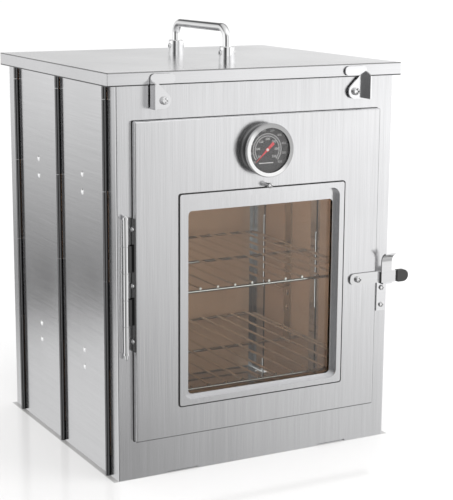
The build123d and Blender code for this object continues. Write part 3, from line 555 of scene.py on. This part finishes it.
def mesh_piece(name: str, mesh: bmesh.types.BMesh, place: Matrix,
               smooth_angle: float | None = 35.0) -> bpy.types.Object:
    """Turns a bmesh into an object at the origin with its place in its mesh.

    Args:
        name: The piece's name.
        mesh: The shape, which is freed.
        place: Where the shape goes.
        smooth_angle: Angle in degrees under which edges shade smooth, or None for flat.

    Returns:
        The new object.
    """
    bmesh.ops.transform(mesh, matrix=place, verts=mesh.verts)
    bmesh.ops.remove_doubles(mesh, verts=mesh.verts, dist=1e-7)
    bmesh.ops.recalc_face_normals(mesh, faces=mesh.faces)
    if smooth_angle is not None:
        for face in mesh.faces:
            face.smooth = True
        for edge in mesh.edges:
            edge.smooth = edge.is_manifold and edge.calc_face_angle(0.0) < math.radians(smooth_angle)
    data = bpy.data.meshes.new(name)
    mesh.to_mesh(data)
    mesh.free()
    obj = bpy.data.objects.new(name, data)
    bpy.context.scene.collection.objects.link(obj)
    return obj


def facing_front(x: float, y: float, z: float) -> Matrix:
    """Places a shape drawn in its own XY plane so that it faces the front.

    Args:
        x: Position across.
        y: Position in depth of the shape's own zero height.
        z: Position up.

    Returns:
        The placing matrix, where the shape's +Z points to the front.
    """
    return Matrix.Translation((x, y, z)) @ Matrix.Rotation(math.radians(90.0), 4, "X")


@dataclass
class Gauge:
    """Case, bezel, print and cap of the dial thermometer."""

    finisher: Finisher
    nodes: dict[str, bpy.types.Object]
    outer_numbers: tuple[str, ...] = ("100", "150", "200", "250", "300", "350", "400", "450", "500",
                                      "550")
    inner_numbers: tuple[str, ...] = ("50", "100", "150", "200", "250", "300", "350")
    outer_ring: float = 0.82
    inner_ring: float = 0.45
    sweep_start: float = 223.0
    sweep: float = 270.0
    sweep_margin: float = 6.0
    print_lift: float = 0.03 * MM
    print_thick: float = 0.02 * MM
    number_height: float = 2.2 * MM
    font_per_height: float = 1.4
    scale_arcs: tuple[tuple[float, float], ...] = ((0.555, 0.585), (0.655, 0.685))
    arc_steps: int = 64
    tick_count: int = 46
    tick_group: int = 5
    tick_reach: float = 0.665
    tick_width: float = 0.26 * MM
    long_tick: float = 0.10
    short_tick: float = 0.06
    bar_size: tuple[float, float] = (14.8 * MM, 0.8 * MM)
    bar_place: tuple[float, float] = (-0.9 * MM, -12.1 * MM)
    cap_radius: float = 1.35 * MM
    cap_flatness: float = 0.22
    # stops of the bezel's painted light and of the case's painted reflection and shade
    bezel_painted_light_stops: tuple[tuple[float, float], ...] = ((0.0, 0.84), (0.40, 0.80), (0.58, 0.42), (1.0, 0.34))
    case_painted_light_stops: tuple[tuple[float, float], ...] = ((0.0, 0.30), (0.22, 0.11), (0.5, 0.05), (0.7, 0.26),
                                                   (0.86, 0.07))
    centre: Vector = field(init=False)
    face: float = field(init=False)
    radius: float = field(init=False)

    def build(self) -> None:
        """Dresses the case and bezel, and builds the scale, numbers, plain bar and needle cap."""
        low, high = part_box("thermometer_dial")
        self.centre = (low + high) / 2
        self.face = low.y
        self.radius = (high.x - low.x) / 2
        self.body()
        self.scale_rings()
        self.numbers("gauge_outer_numbers", self.outer_numbers, self.outer_ring, PRINT_DIM)
        self.numbers("gauge_inner_numbers", self.inner_numbers, self.inner_ring, PRINT)
        self.bar()
        self.cap()

    def body(self) -> None:
        """Gives the bezel a painted highlight to the lower left and painted shade to the upper right,
        and the case painted bands of reflection and shade along its depth.
        """
        low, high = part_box("thermometer_bezel")
        lean = math.sqrt(0.5)
        middle = lean * (self.centre.x + self.centre.z)
        radius = (high.x - low.x) / 2
        bezel = PaintedLightMetal("bezel_painted_sheen", (lean, 0.0, lean), self.bezel_painted_light_stops, middle - radius,
                       middle + radius, 0.14)
        self.finisher.give(self.nodes["thermometer_bezel"], bezel)
        low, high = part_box("thermometer_case")
        case = PaintedLightMetal("gauge_case_painted_shade", (0.0, -1.0, 0.0), self.case_painted_light_stops, -high.y, -low.y, 0.18)
        self.finisher.give(self.nodes["thermometer_case"], case)
        LOG.info("thermometer case and bezel dressed")

    def direction(self, share: float) -> float:
        """Finds where a share of the scale lies on the dial.

        Args:
            share: The share, from 0 at the scale's start to 1 at its end.

        Returns:
            The angle in radians, anticlockwise from the right.
        """
        return math.radians(self.sweep_start - self.sweep_margin
                            - share * (self.sweep - 2 * self.sweep_margin))

    def lay(self, name: str, mesh: bmesh.types.BMesh, finish: Finish) -> None:
        """Lays a flat print on the dial.

        Args:
            name: The piece's name.
            mesh: The print, drawn round the dial's centre.
            finish: Its finish.
        """
        place = facing_front(self.centre.x, self.face - self.print_lift, self.centre.z)
        self.keep(mesh_piece(name, mesh, place, None), finish, "door")

    def keep(self, obj: bpy.types.Object, finish: Finish, body: str) -> None:
        """Dresses a piece and lets it ride on a body.

        Args:
            obj: The piece.
            finish: Its finish.
            body: The body that carries it.
        """
        self.finisher.give(obj, finish)
        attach(obj, body)
        LOG.info("%s on %s", obj.name, body)

    def arc(self, inner: float, outer: float, start: float, end: float) -> bmesh.types.BMesh:
        """Spins a flat band round the dial.

        Args:
            inner: Inner radius.
            outer: Outer radius.
            start: First angle in radians.
            end: Last angle in radians.

        Returns:
            The band, lying in its own XY plane.
        """
        mesh = bmesh.new()
        corners = [mesh.verts.new((r * math.cos(start), r * math.sin(start), z))
                   for r, z in ((inner, 0.0), (outer, 0.0), (outer, self.print_thick),
                                (inner, self.print_thick))]
        profile = mesh.faces.new(corners)
        bmesh.ops.spin(mesh, geom=[profile, *profile.edges, *profile.verts], cent=(0, 0, 0),
                       axis=(0, 0, 1), angle=end - start, steps=self.arc_steps, use_duplicate=False)
        return mesh

    def scale_rings(self) -> None:
        """Two thin arcs with ticks between them."""
        mesh = bmesh.new()
        start, end = self.direction(0.0), self.direction(1.0)
        for inner, outer in self.scale_arcs:
            part = self.arc(inner * self.radius, outer * self.radius, start, end)
            self.merge(mesh, part, Matrix.Identity(4))
        for index in range(self.tick_count):
            share = index / (self.tick_count - 1)
            length = self.long_tick if index % self.tick_group == 0 else self.short_tick
            tick = bmesh.new()
            bmesh.ops.create_cube(tick, size=1.0, matrix=Matrix.Diagonal(
                (length * self.radius, self.tick_width, self.print_thick, 1.0)))
            angle = self.direction(share)
            spot = Matrix.Rotation(angle, 4, "Z") @ Matrix.Translation(
                ((self.tick_reach - length / 2) * self.radius, 0, self.print_thick / 2))
            self.merge(mesh, tick, spot)
        self.lay("gauge_scale", mesh, PRINT_DIM)

    def merge(self, target: bmesh.types.BMesh, part: bmesh.types.BMesh, place: Matrix) -> None:
        """Adds a placed shape to another and frees it.

        Args:
            target: The shape that grows.
            part: The shape added.
            place: Where it goes.
        """
        bmesh.ops.transform(part, matrix=place, verts=part.verts)
        data = bpy.data.meshes.new("part")
        part.to_mesh(data)
        part.free()
        target.from_mesh(data)
        bpy.data.meshes.remove(data)

    def numbers(self, name: str, words: tuple[str, ...], ring: float, finish: Finish) -> None:
        """Sets plain numbers round the dial.

        Args:
            name: The piece's name.
            words: The numbers.
            ring: Their distance from the centre, as a share of the dial's radius.
            finish: The print's finish.
        """
        mesh = bmesh.new()
        for index, word in enumerate(words):
            curve = bpy.data.curves.new("number", "FONT")
            curve.body = word
            curve.size = self.number_height * self.font_per_height
            curve.align_x, curve.align_y = "CENTER", "CENTER"
            curve.resolution_u = 2
            curve.extrude = self.print_thick / 2
            text = bpy.data.objects.new("number", curve)
            bpy.context.scene.collection.objects.link(text)
            bpy.context.view_layer.update()
            data = bpy.data.meshes.new_from_object(text.evaluated_get(
                bpy.context.evaluated_depsgraph_get()))
            angle = self.direction(index / (len(words) - 1))
            data.transform(Matrix.Translation((ring * self.radius * math.cos(angle),
                                               ring * self.radius * math.sin(angle),
                                               self.print_thick / 2)))
            mesh.from_mesh(data)
            bpy.data.meshes.remove(data)
            bpy.data.objects.remove(text)
            bpy.data.curves.remove(curve)
        self.lay(name, mesh, finish)

    def bar(self) -> None:
        """Plain bar printed under the centre."""
        mesh = bmesh.new()
        place = Matrix.Translation((*self.bar_place, self.print_thick / 2))
        bmesh.ops.create_cube(mesh, size=1.0,
                              matrix=place @ Matrix.Diagonal((*self.bar_size, self.print_thick, 1.0)))
        self.lay("gauge_bar", mesh, PRINT)

    def cap(self) -> None:
        """Small pale dome over the needle's pivot."""
        low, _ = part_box("thermometer_needle")
        mesh = bmesh.new()
        bmesh.ops.create_uvsphere(mesh, u_segments=24, v_segments=12, radius=self.cap_radius)
        bmesh.ops.bisect_plane(mesh, geom=[*mesh.verts, *mesh.edges, *mesh.faces], plane_co=(0, 0, 0),
                               plane_no=(0, 0, -1), clear_outer=True)
        rim = [edge for edge in mesh.edges if edge.is_boundary]
        bmesh.ops.edgeloop_fill(mesh, edges=rim)
        bmesh.ops.transform(mesh, matrix=Matrix.Diagonal((1, 1, self.cap_flatness, 1)), verts=mesh.verts)
        obj = mesh_piece("gauge_needle_cap", mesh, facing_front(self.centre.x, low.y, self.centre.z))
        self.keep(obj, HUB, "needle")


@dataclass
class DarkEdgeStrip:
    """Thin black strip round a plate's edge, which shows as a dark line."""

    finisher: Finisher
    name: str
    plate: str
    face: float
    show: float
    thick: float
    corner: float
    corner_steps: int = 6
    lap: float = 0.02 * MM

    def build(self) -> None:
        """Builds the strip round the plate."""
        low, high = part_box(self.plate)
        width, height = high.x - low.x + 2 * self.show, high.z - low.z + 2 * self.show
        mesh = bmesh.new()
        bmesh.ops.create_grid(mesh, x_segments=1, y_segments=1, size=0.5,
                              matrix=Matrix.Diagonal((width, height, 1, 1)))
        bmesh.ops.bevel(mesh, geom=mesh.verts[:], offset=self.corner, offset_type="OFFSET",
                        segments=self.corner_steps, profile=0.5, affect="VERTICES", material=-1)
        inner = bmesh.ops.inset_region(mesh, faces=mesh.faces[:], thickness=self.show - self.lap,
                                       use_boundary=True, use_even_offset=True)
        ring = inner["faces"]
        centre = [face for face in mesh.faces if face not in ring]
        bmesh.ops.delete(mesh, geom=centre, context="FACES")
        bmesh.ops.solidify(mesh, geom=mesh.faces[:], thickness=self.thick)
        place = facing_front((low.x + high.x) / 2, self.face, (low.z + high.z) / 2)
        obj = mesh_piece(self.name, mesh, place, 40.0)
        self.settle(obj)
        self.finisher.give(obj, SEAL_AND_SHADOW_BLACK)
        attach(obj, "door")
        LOG.info("%s on door", obj.name)

    def settle(self, obj: bpy.types.Object) -> None:
        """Brings the strip's back onto the face that carries it.

        Args:
            obj: The strip.
        """
        back = max(v.co.y for v in obj.data.vertices)
        obj.data.transform(Matrix.Translation((0, self.face - back, 0)))


@dataclass(frozen=True)
class SkyBand:
    """One level of the studio's surround: its brightness all the way round."""

    elevation: float
    stops: tuple[tuple[float, float], ...]


@dataclass
class Studio:
    """Procedural surround that the steel mirrors, as brightness by compass angle and elevation.

    Compass angles run from straight behind the oven (0) by its right (90) and front (180) to its left
    (270).
    """

    bands: tuple[SkyBand, ...] = (
        SkyBand(-90.0, ((0, 0.5), (90, 0.6), (150, 0.35), (200, 0.2), (270, 0.5), (360, 0.5))),
        SkyBand(-22.0, ((0, 0.8), (18, 0.6), (28, 0.25), (38, 0.6), (60, 0.9), (120, 0.95), (146, 0.64),
                        (150, 0.4), (156, 0.28), (166, 0.12), (180, 0.55), (204, 0.6), (214, 0.1),
                        (236, 0.05), (250, 0.3), (268, 0.9), (284, 1.0), (300, 1.05), (325, 0.77),
                        (345, 0.78), (360, 0.8))),
        SkyBand(-15.2, ((0, 0.9), (18, 0.6), (28, 0.2), (38, 0.6), (60, 1.0), (120, 1.15), (146, 1.02),
                        (156, 0.55), (166, 0.2), (180, 0.7), (204, 0.75), (214, 0.1), (236, 0.05),
                        (250, 0.35), (268, 1.0), (284, 1.15), (300, 1.2), (325, 0.83), (337, 0.84),
                        (342, 0.74), (360, 0.9))),
        SkyBand(-13.7, ((0, 0.5), (18, 0.5), (28, 0.2), (38, 0.6), (60, 1.0), (120, 1.2), (146, 1.12),
                        (156, 0.7), (166, 0.28), (180, 0.72), (204, 0.78), (214, 0.1), (236, 0.05),
                        (250, 0.35), (268, 1.0), (284, 1.15), (300, 1.1), (325, 0.17), (345, 0.15),
                        (360, 0.5))),
        SkyBand(-9.5, ((0, 0.8), (18, 0.5), (28, 0.2), (38, 0.6), (60, 1.0), (120, 1.25), (146, 1.34),
                       (156, 0.88), (166, 0.34), (180, 0.8), (204, 0.85), (214, 0.1), (236, 0.05),
                       (250, 0.35), (268, 1.0), (284, 1.15), (300, 1.1), (325, 0.62), (337, 0.6),
                       (342, 0.44), (360, 0.8))),
        SkyBand(-5.0, ((0, 0.95), (18, 0.6), (28, 0.3), (38, 0.6), (60, 1.05), (120, 1.35), (146, 1.52),
                       (156, 0.96), (166, 0.4), (180, 0.9), (204, 0.95), (214, 0.1), (236, 0.05),
                       (250, 0.4), (268, 1.1), (284, 1.2), (300, 1.2), (325, 0.98), (337, 0.98),
                       (342, 0.8), (360, 0.95))),
        SkyBand(3.0, ((0, 0.8), (20, 0.8), (36, 1.01), (60, 1.1), (120, 1.4), (150, 1.15), (166, 0.55),
                      (180, 0.95), (204, 1.0), (214, 0.1), (236, 0.05), (250, 0.4), (268, 1.1),
                      (284, 1.1), (300, 1.1), (325, 0.85), (345, 0.75), (360, 0.8))),
        SkyBand(18.0, ((0, 0.76), (20, 0.8), (36, 1.02), (60, 1.1), (120, 1.4), (150, 1.1), (166, 0.5),
                       (180, 0.95), (204, 1.0), (214, 0.1), (236, 0.05), (250, 0.4), (268, 1.1),
                       (284, 1.1), (300, 0.9), (345, 0.7), (360, 0.76))),
        SkyBand(26.0, ((0, 0.1), (40, 0.15), (70, 0.6), (120, 1.2), (150, 1.1), (172, 0.8), (204, 0.8),
                       (218, 0.2), (236, 0.2), (268, 0.7), (300, 0.2), (360, 0.1))),
        SkyBand(38.0, ((0, 0.12), (60, 0.25), (100, 0.9), (140, 1.4), (180, 1.2), (230, 0.8),
                       (270, 0.5), (310, 0.2), (360, 0.12))),
        SkyBand(52.0, ((0, 0.62), (60, 0.66), (100, 0.9), (140, 1.4), (180, 1.3), (230, 0.9),
                       (270, 0.7), (310, 0.6), (360, 0.62))),
        SkyBand(90.0, ((0, 0.85), (360, 0.85))),
    )
    peak: float = 2.0

    def build(self) -> None:
        """Builds the surround as the scene's world."""
        world = bpy.data.worlds.new("studio")
        bpy.context.scene.world = world
        world.use_nodes = True
        tree = world.node_tree
        tree.nodes.clear()
        output = tree.nodes.new("ShaderNodeOutputWorld")
        background = tree.nodes.new("ShaderNodeBackground")
        across, deep, high = axes(tree, "Generated")
        turns = calc(tree, "MULTIPLY", calc(tree, "ARCTAN2", across, deep), 0.5 / math.pi)
        bearing = calc(tree, "FRACT", turns)
        degrees = calc(tree, "MULTIPLY", calc(tree, "ARCSINE", high), 180.0 / math.pi)
        shade = self.ring(tree, bearing, self.bands[0])
        for below, band in zip(self.bands, self.bands[1:]):
            blend = remap(tree, degrees, (below.elevation, band.elevation), UNIT)
            mix = tree.nodes.new("ShaderNodeMix")
            mix.data_type = "FLOAT"
            tree.links.new(blend, mix.inputs[0])
            tree.links.new(shade, mix.inputs[2])
            tree.links.new(self.ring(tree, bearing, band), mix.inputs[3])
            shade = mix.outputs[0]
        tree.links.new(shade, background.inputs["Color"])
        background.inputs["Strength"].default_value = self.peak
        tree.links.new(background.outputs["Background"], output.inputs["Surface"])

    def ring(self, tree: bpy.types.NodeTree, bearing: bpy.types.NodeSocket,
             band: SkyBand) -> bpy.types.NodeSocket:
        """Looks one band's brightness up by compass angle.

        Args:
            tree: The world's node tree.
            bearing: The compass angle as a share of a turn.
            band: The band.

        Returns:
            The brightness over the peak.
        """
        ramp = tree.nodes.new("ShaderNodeValToRGB")
        ramp.color_ramp.interpolation = "LINEAR"
        elements = ramp.color_ramp.elements
        for index, (angle, value) in enumerate(band.stops):
            place = angle / 360.0
            if index < 2:
                element = elements[index]
                element.position = place
            else:
                element = elements.new(place)
            level = value / self.peak
            element.color = (level, level, level, 1.0)
        tree.links.new(bearing, ramp.inputs["Fac"])
        return ramp.outputs["Color"]


@dataclass(frozen=True)
class Lamp:
    """Square soft lamp, unseen by the camera and in the steel."""

    name: str
    size: float
    power: float
    place: tuple[float, float, float]
    aim: tuple[float, float, float]
    colour: tuple[float, float, float] = (1.0, 1.0, 1.0)

    def build(self) -> None:
        """Hangs the lamp in the scene."""
        light = bpy.data.lights.new(self.name, "AREA")
        light.shape = "SQUARE"
        light.size = self.size
        light.energy = self.power
        light.color = self.colour
        lamp = bpy.data.objects.new(self.name, light)
        lamp.location = self.place
        away = Vector(self.place) - Vector(self.aim)
        lamp.rotation_euler = away.to_track_quat("Z", "Y").to_euler()
        lamp.visible_glossy = False
        lamp.visible_camera = False
        bpy.context.scene.collection.objects.link(lamp)


WARM = (1.0, 0.86, 0.72)
LAMPS = (
    Lamp("key", 2.4, 60.0, (2.6, -2.4, 2.8), (0, 0, 0.15)),
    Lamp("fill", 1.6, 45.0, (-1.0, -2.2, 1.1), (0, 0, 0.2), (1.0, 0.95, 0.90)),
    Lamp("top", 3.6, 70.0, (0.2, 0.6, 3.2), (0, 0, 0)),
    Lamp("upper_glow", 0.16, 0.30, (0.0, -0.05, 0.345), (0, 0.06, 0.2), WARM),
    Lamp("lower_glow", 0.16, 0.20, (0.0, -0.07, 0.155), (0, 0.10, 0.05), WARM),
)


@dataclass
class Stage:
    """Pale floor, soft lamps and the photograph's camera."""

    lens: float = 103.5
    place: tuple[float, float, float] = (-0.6478, -1.2624, 0.4754)
    azimuth: float = -28.481
    elevation: float = 11.883
    roll: float = 0.391
    floor_half: float = 30.0
    floor_tones: tuple[tuple[float, float, float], ...] = ((0.43, 0.43, 0.435), (0.45, 0.45, 0.45))
    floor_roughness: float = 0.10
    floor_lift: float = 0.36
    # margin of the painted contact shadow round the oven's footprint
    painted_shadow_margin: float = 1.5 * MM

    def build(self) -> None:
        """Builds the whole stage."""
        self.floor()
        Studio().build()
        for lamp in LAMPS:
            lamp.build()
        self.camera()

    def floor(self) -> None:
        """Wide pale floor with a soft sheen, which the steel's mirror image leaves out."""
        mesh = bmesh.new()
        bmesh.ops.create_grid(mesh, x_segments=1, y_segments=1, size=self.floor_half)
        data = bpy.data.meshes.new("floor")
        mesh.to_mesh(data)
        mesh.free()
        floor = bpy.data.objects.new("floor", data)
        bpy.context.scene.collection.objects.link(floor)
        floor.visible_glossy = False
        material, tree, shader = new_material("pale_floor")
        tone = colour_mix(tree, object_noise(tree, EVEN, 2.0), *self.floor_tones)
        tree.links.new(tone, shader.inputs["Base Color"])
        shader.inputs["Emission Color"].default_value = (1.0, 1.0, 1.0, 1.0)
        # the floor glows evenly but stays unlit under the oven, as painted contact shadow
        tree.links.new(self.footprint(tree), shader.inputs["Emission Strength"])
        shader.inputs["Roughness"].default_value = self.floor_roughness
        shader.inputs["Specular IOR Level"].default_value = 0.5
        data.materials.append(material)

    def footprint(self, tree: bpy.types.NodeTree) -> bpy.types.NodeSocket:
        """Lifts the floor's brightness everywhere but under the oven, which is left unlit as painted
        contact shadow.

        Args:
            tree: The floor's node tree.

        Returns:
            The lift as an emission strength.
        """
        low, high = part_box("front_wall")
        _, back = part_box("back_wall")
        across, deep, _ = axes(tree)
        sides = [remap(tree, place, (edge, edge + away), UNIT)
                 for place, near, far in ((across, low.x, high.x), (deep, low.y, back.y))
                 for edge, away in ((near, -self.painted_shadow_margin), (far, self.painted_shadow_margin))]
        clear = sides[0]
        for side in sides[1:]:
            clear = calc(tree, "MAXIMUM", clear, side)
        return remap(tree, clear, UNIT, (0.0, self.floor_lift))

    def camera(self) -> None:
        """Camera at the photograph's viewpoint."""
        scene = bpy.context.scene
        data = bpy.data.cameras.new("camera")
        data.lens = self.lens
        data.sensor_width = 36.0
        data.sensor_fit = "AUTO"
        data.clip_start, data.clip_end = 0.01, 100.0
        camera = bpy.data.objects.new("camera", data)
        turn, tilt, lean = (math.radians(a) for a in (self.azimuth, self.elevation, self.roll))
        forward = Vector((-math.sin(turn) * math.cos(tilt), math.cos(turn) * math.cos(tilt),
                          -math.sin(tilt)))
        right = Vector((math.cos(turn), math.sin(turn), 0.0))
        up = right.cross(forward)
        across = math.cos(lean) * right + math.sin(lean) * up
        upward = -math.sin(lean) * right + math.cos(lean) * up
        basis = Matrix((across, upward, -forward)).transposed().to_4x4()
        camera.matrix_world = Matrix.Translation(self.place) @ basis
        scene.collection.objects.link(camera)
        scene.camera = camera
        scene.view_settings.view_transform = "Standard"


@dataclass
class CampOven:
    """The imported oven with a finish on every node."""

    nodes: dict[str, bpy.types.Object]
    finisher: Finisher
    # reach and darkness of the painted shade along the lid's and the door's edges and bends
    shade_edge_reach: float = 1.2 * MM
    shade_edge_level: float = 0.12
    shade_bend_reach: float = 0.9 * MM
    shade_bend_level: float = 0.40
    # place, reach and darkness of the painted shade on the barrels, just in front of each pin
    barrel_shade_offset: float = 1.1 * MM
    barrel_shade_reach: float = 1.75 * MM
    barrel_shade_level: float = 0.20

    def dress(self) -> None:
        """Gives each node its finish."""
        for name, finish in NODE_FINISHES.items():
            self.finisher.give(self.nodes[name], finish)
            LOG.info("%s dressed", name)
        self.edges()
        self.barrels()

    def edges(self) -> None:
        """Paints shade along the lid's and the door's edges."""
        low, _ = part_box("lid_top_sheet")
        # painted shade along the top sheet's front and left bends
        top = replace(LID_STEEL, name="lid_top_steel", painted_shades=(
            PaintedShadeBand(1, low.y, self.shade_bend_reach, self.shade_bend_level),
            PaintedShadeBand(0, low.x, self.shade_bend_reach, self.shade_bend_level)))
        self.finisher.give(self.nodes["lid_top_sheet"], top)
        low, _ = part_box("lid_skirts")
        # painted shade along the skirts' bottom edge
        skirt = replace(LID_STEEL, name="lid_skirt_steel", painted_shades=(
            PaintedShadeBand(2, low.z, self.shade_edge_reach, self.shade_edge_level),))
        self.finisher.give(self.nodes["lid_skirts"], skirt)
        low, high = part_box("door_panel")
        # painted shade along the door's bottom and right edges
        door = replace(DOOR_STEEL, painted_shades=(
            PaintedShadeBand(2, low.z, self.shade_edge_reach, self.shade_edge_level),
            PaintedShadeBand(0, high.x, self.shade_edge_reach, self.shade_edge_level)))
        self.finisher.give(self.nodes["door_panel"], door)
        LOG.info("lid and door dressed")

    def barrels(self) -> None:
        """Gives the walls and leaves their finish, with painted shade on the front of the rolled
        barrels.
        """
        bands = []
        for pins in ("front_corner_pins", "left_fold_pin", "rear_corner_pins"):
            low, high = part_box(pins)
            bands.append(PaintedShadeBand(1, (low.y + high.y) / 2 - self.barrel_shade_offset, self.barrel_shade_reach,
                                   self.barrel_shade_level))
        walls = replace(STEEL, name="wall_steel", painted_shades=tuple(bands))
        for name in ("front_wall", "back_wall"):
            self.finisher.give(self.nodes[name], walls)
        leaves = replace(SIDE_STEEL, painted_shades=tuple(bands))
        for name in ("left_front_leaf", "left_rear_leaf", "right_front_leaf", "right_rear_leaf"):
            self.finisher.give(self.nodes[name], leaves)
        LOG.info("walls and leaves dressed")


def main(frame: dict) -> None:
    """Builds everything in order.
    """
    logging.basicConfig(level=logging.INFO, format="%(name)s: %(message)s")
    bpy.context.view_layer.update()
    finisher = Finisher()
    CampOven(frame["nodes"], finisher).dress()
    door_low, door_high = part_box("door_panel")
    # painted shadow: a black strip behind the door's edge stands in for the shadow line round the door
    DarkEdgeStrip(finisher, "door_painted_shadow_line", "door_panel", door_high.y + 0.35 * MM, show=0.4 * MM,
             thick=0.7 * MM, corner=0.9 * MM).build()
    # black strip round the window frame's edge, which shows as a dark line
    DarkEdgeStrip(finisher, "window_dark_edge_line", "window_frame", door_low.y, show=1.1 * MM, thick=0.9 * MM,
             corner=2.6 * MM).build()
    Gauge(finisher, frame["nodes"]).build()
    Stage().build()


if __name__ == "__main__":
    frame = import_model()
    main(frame)
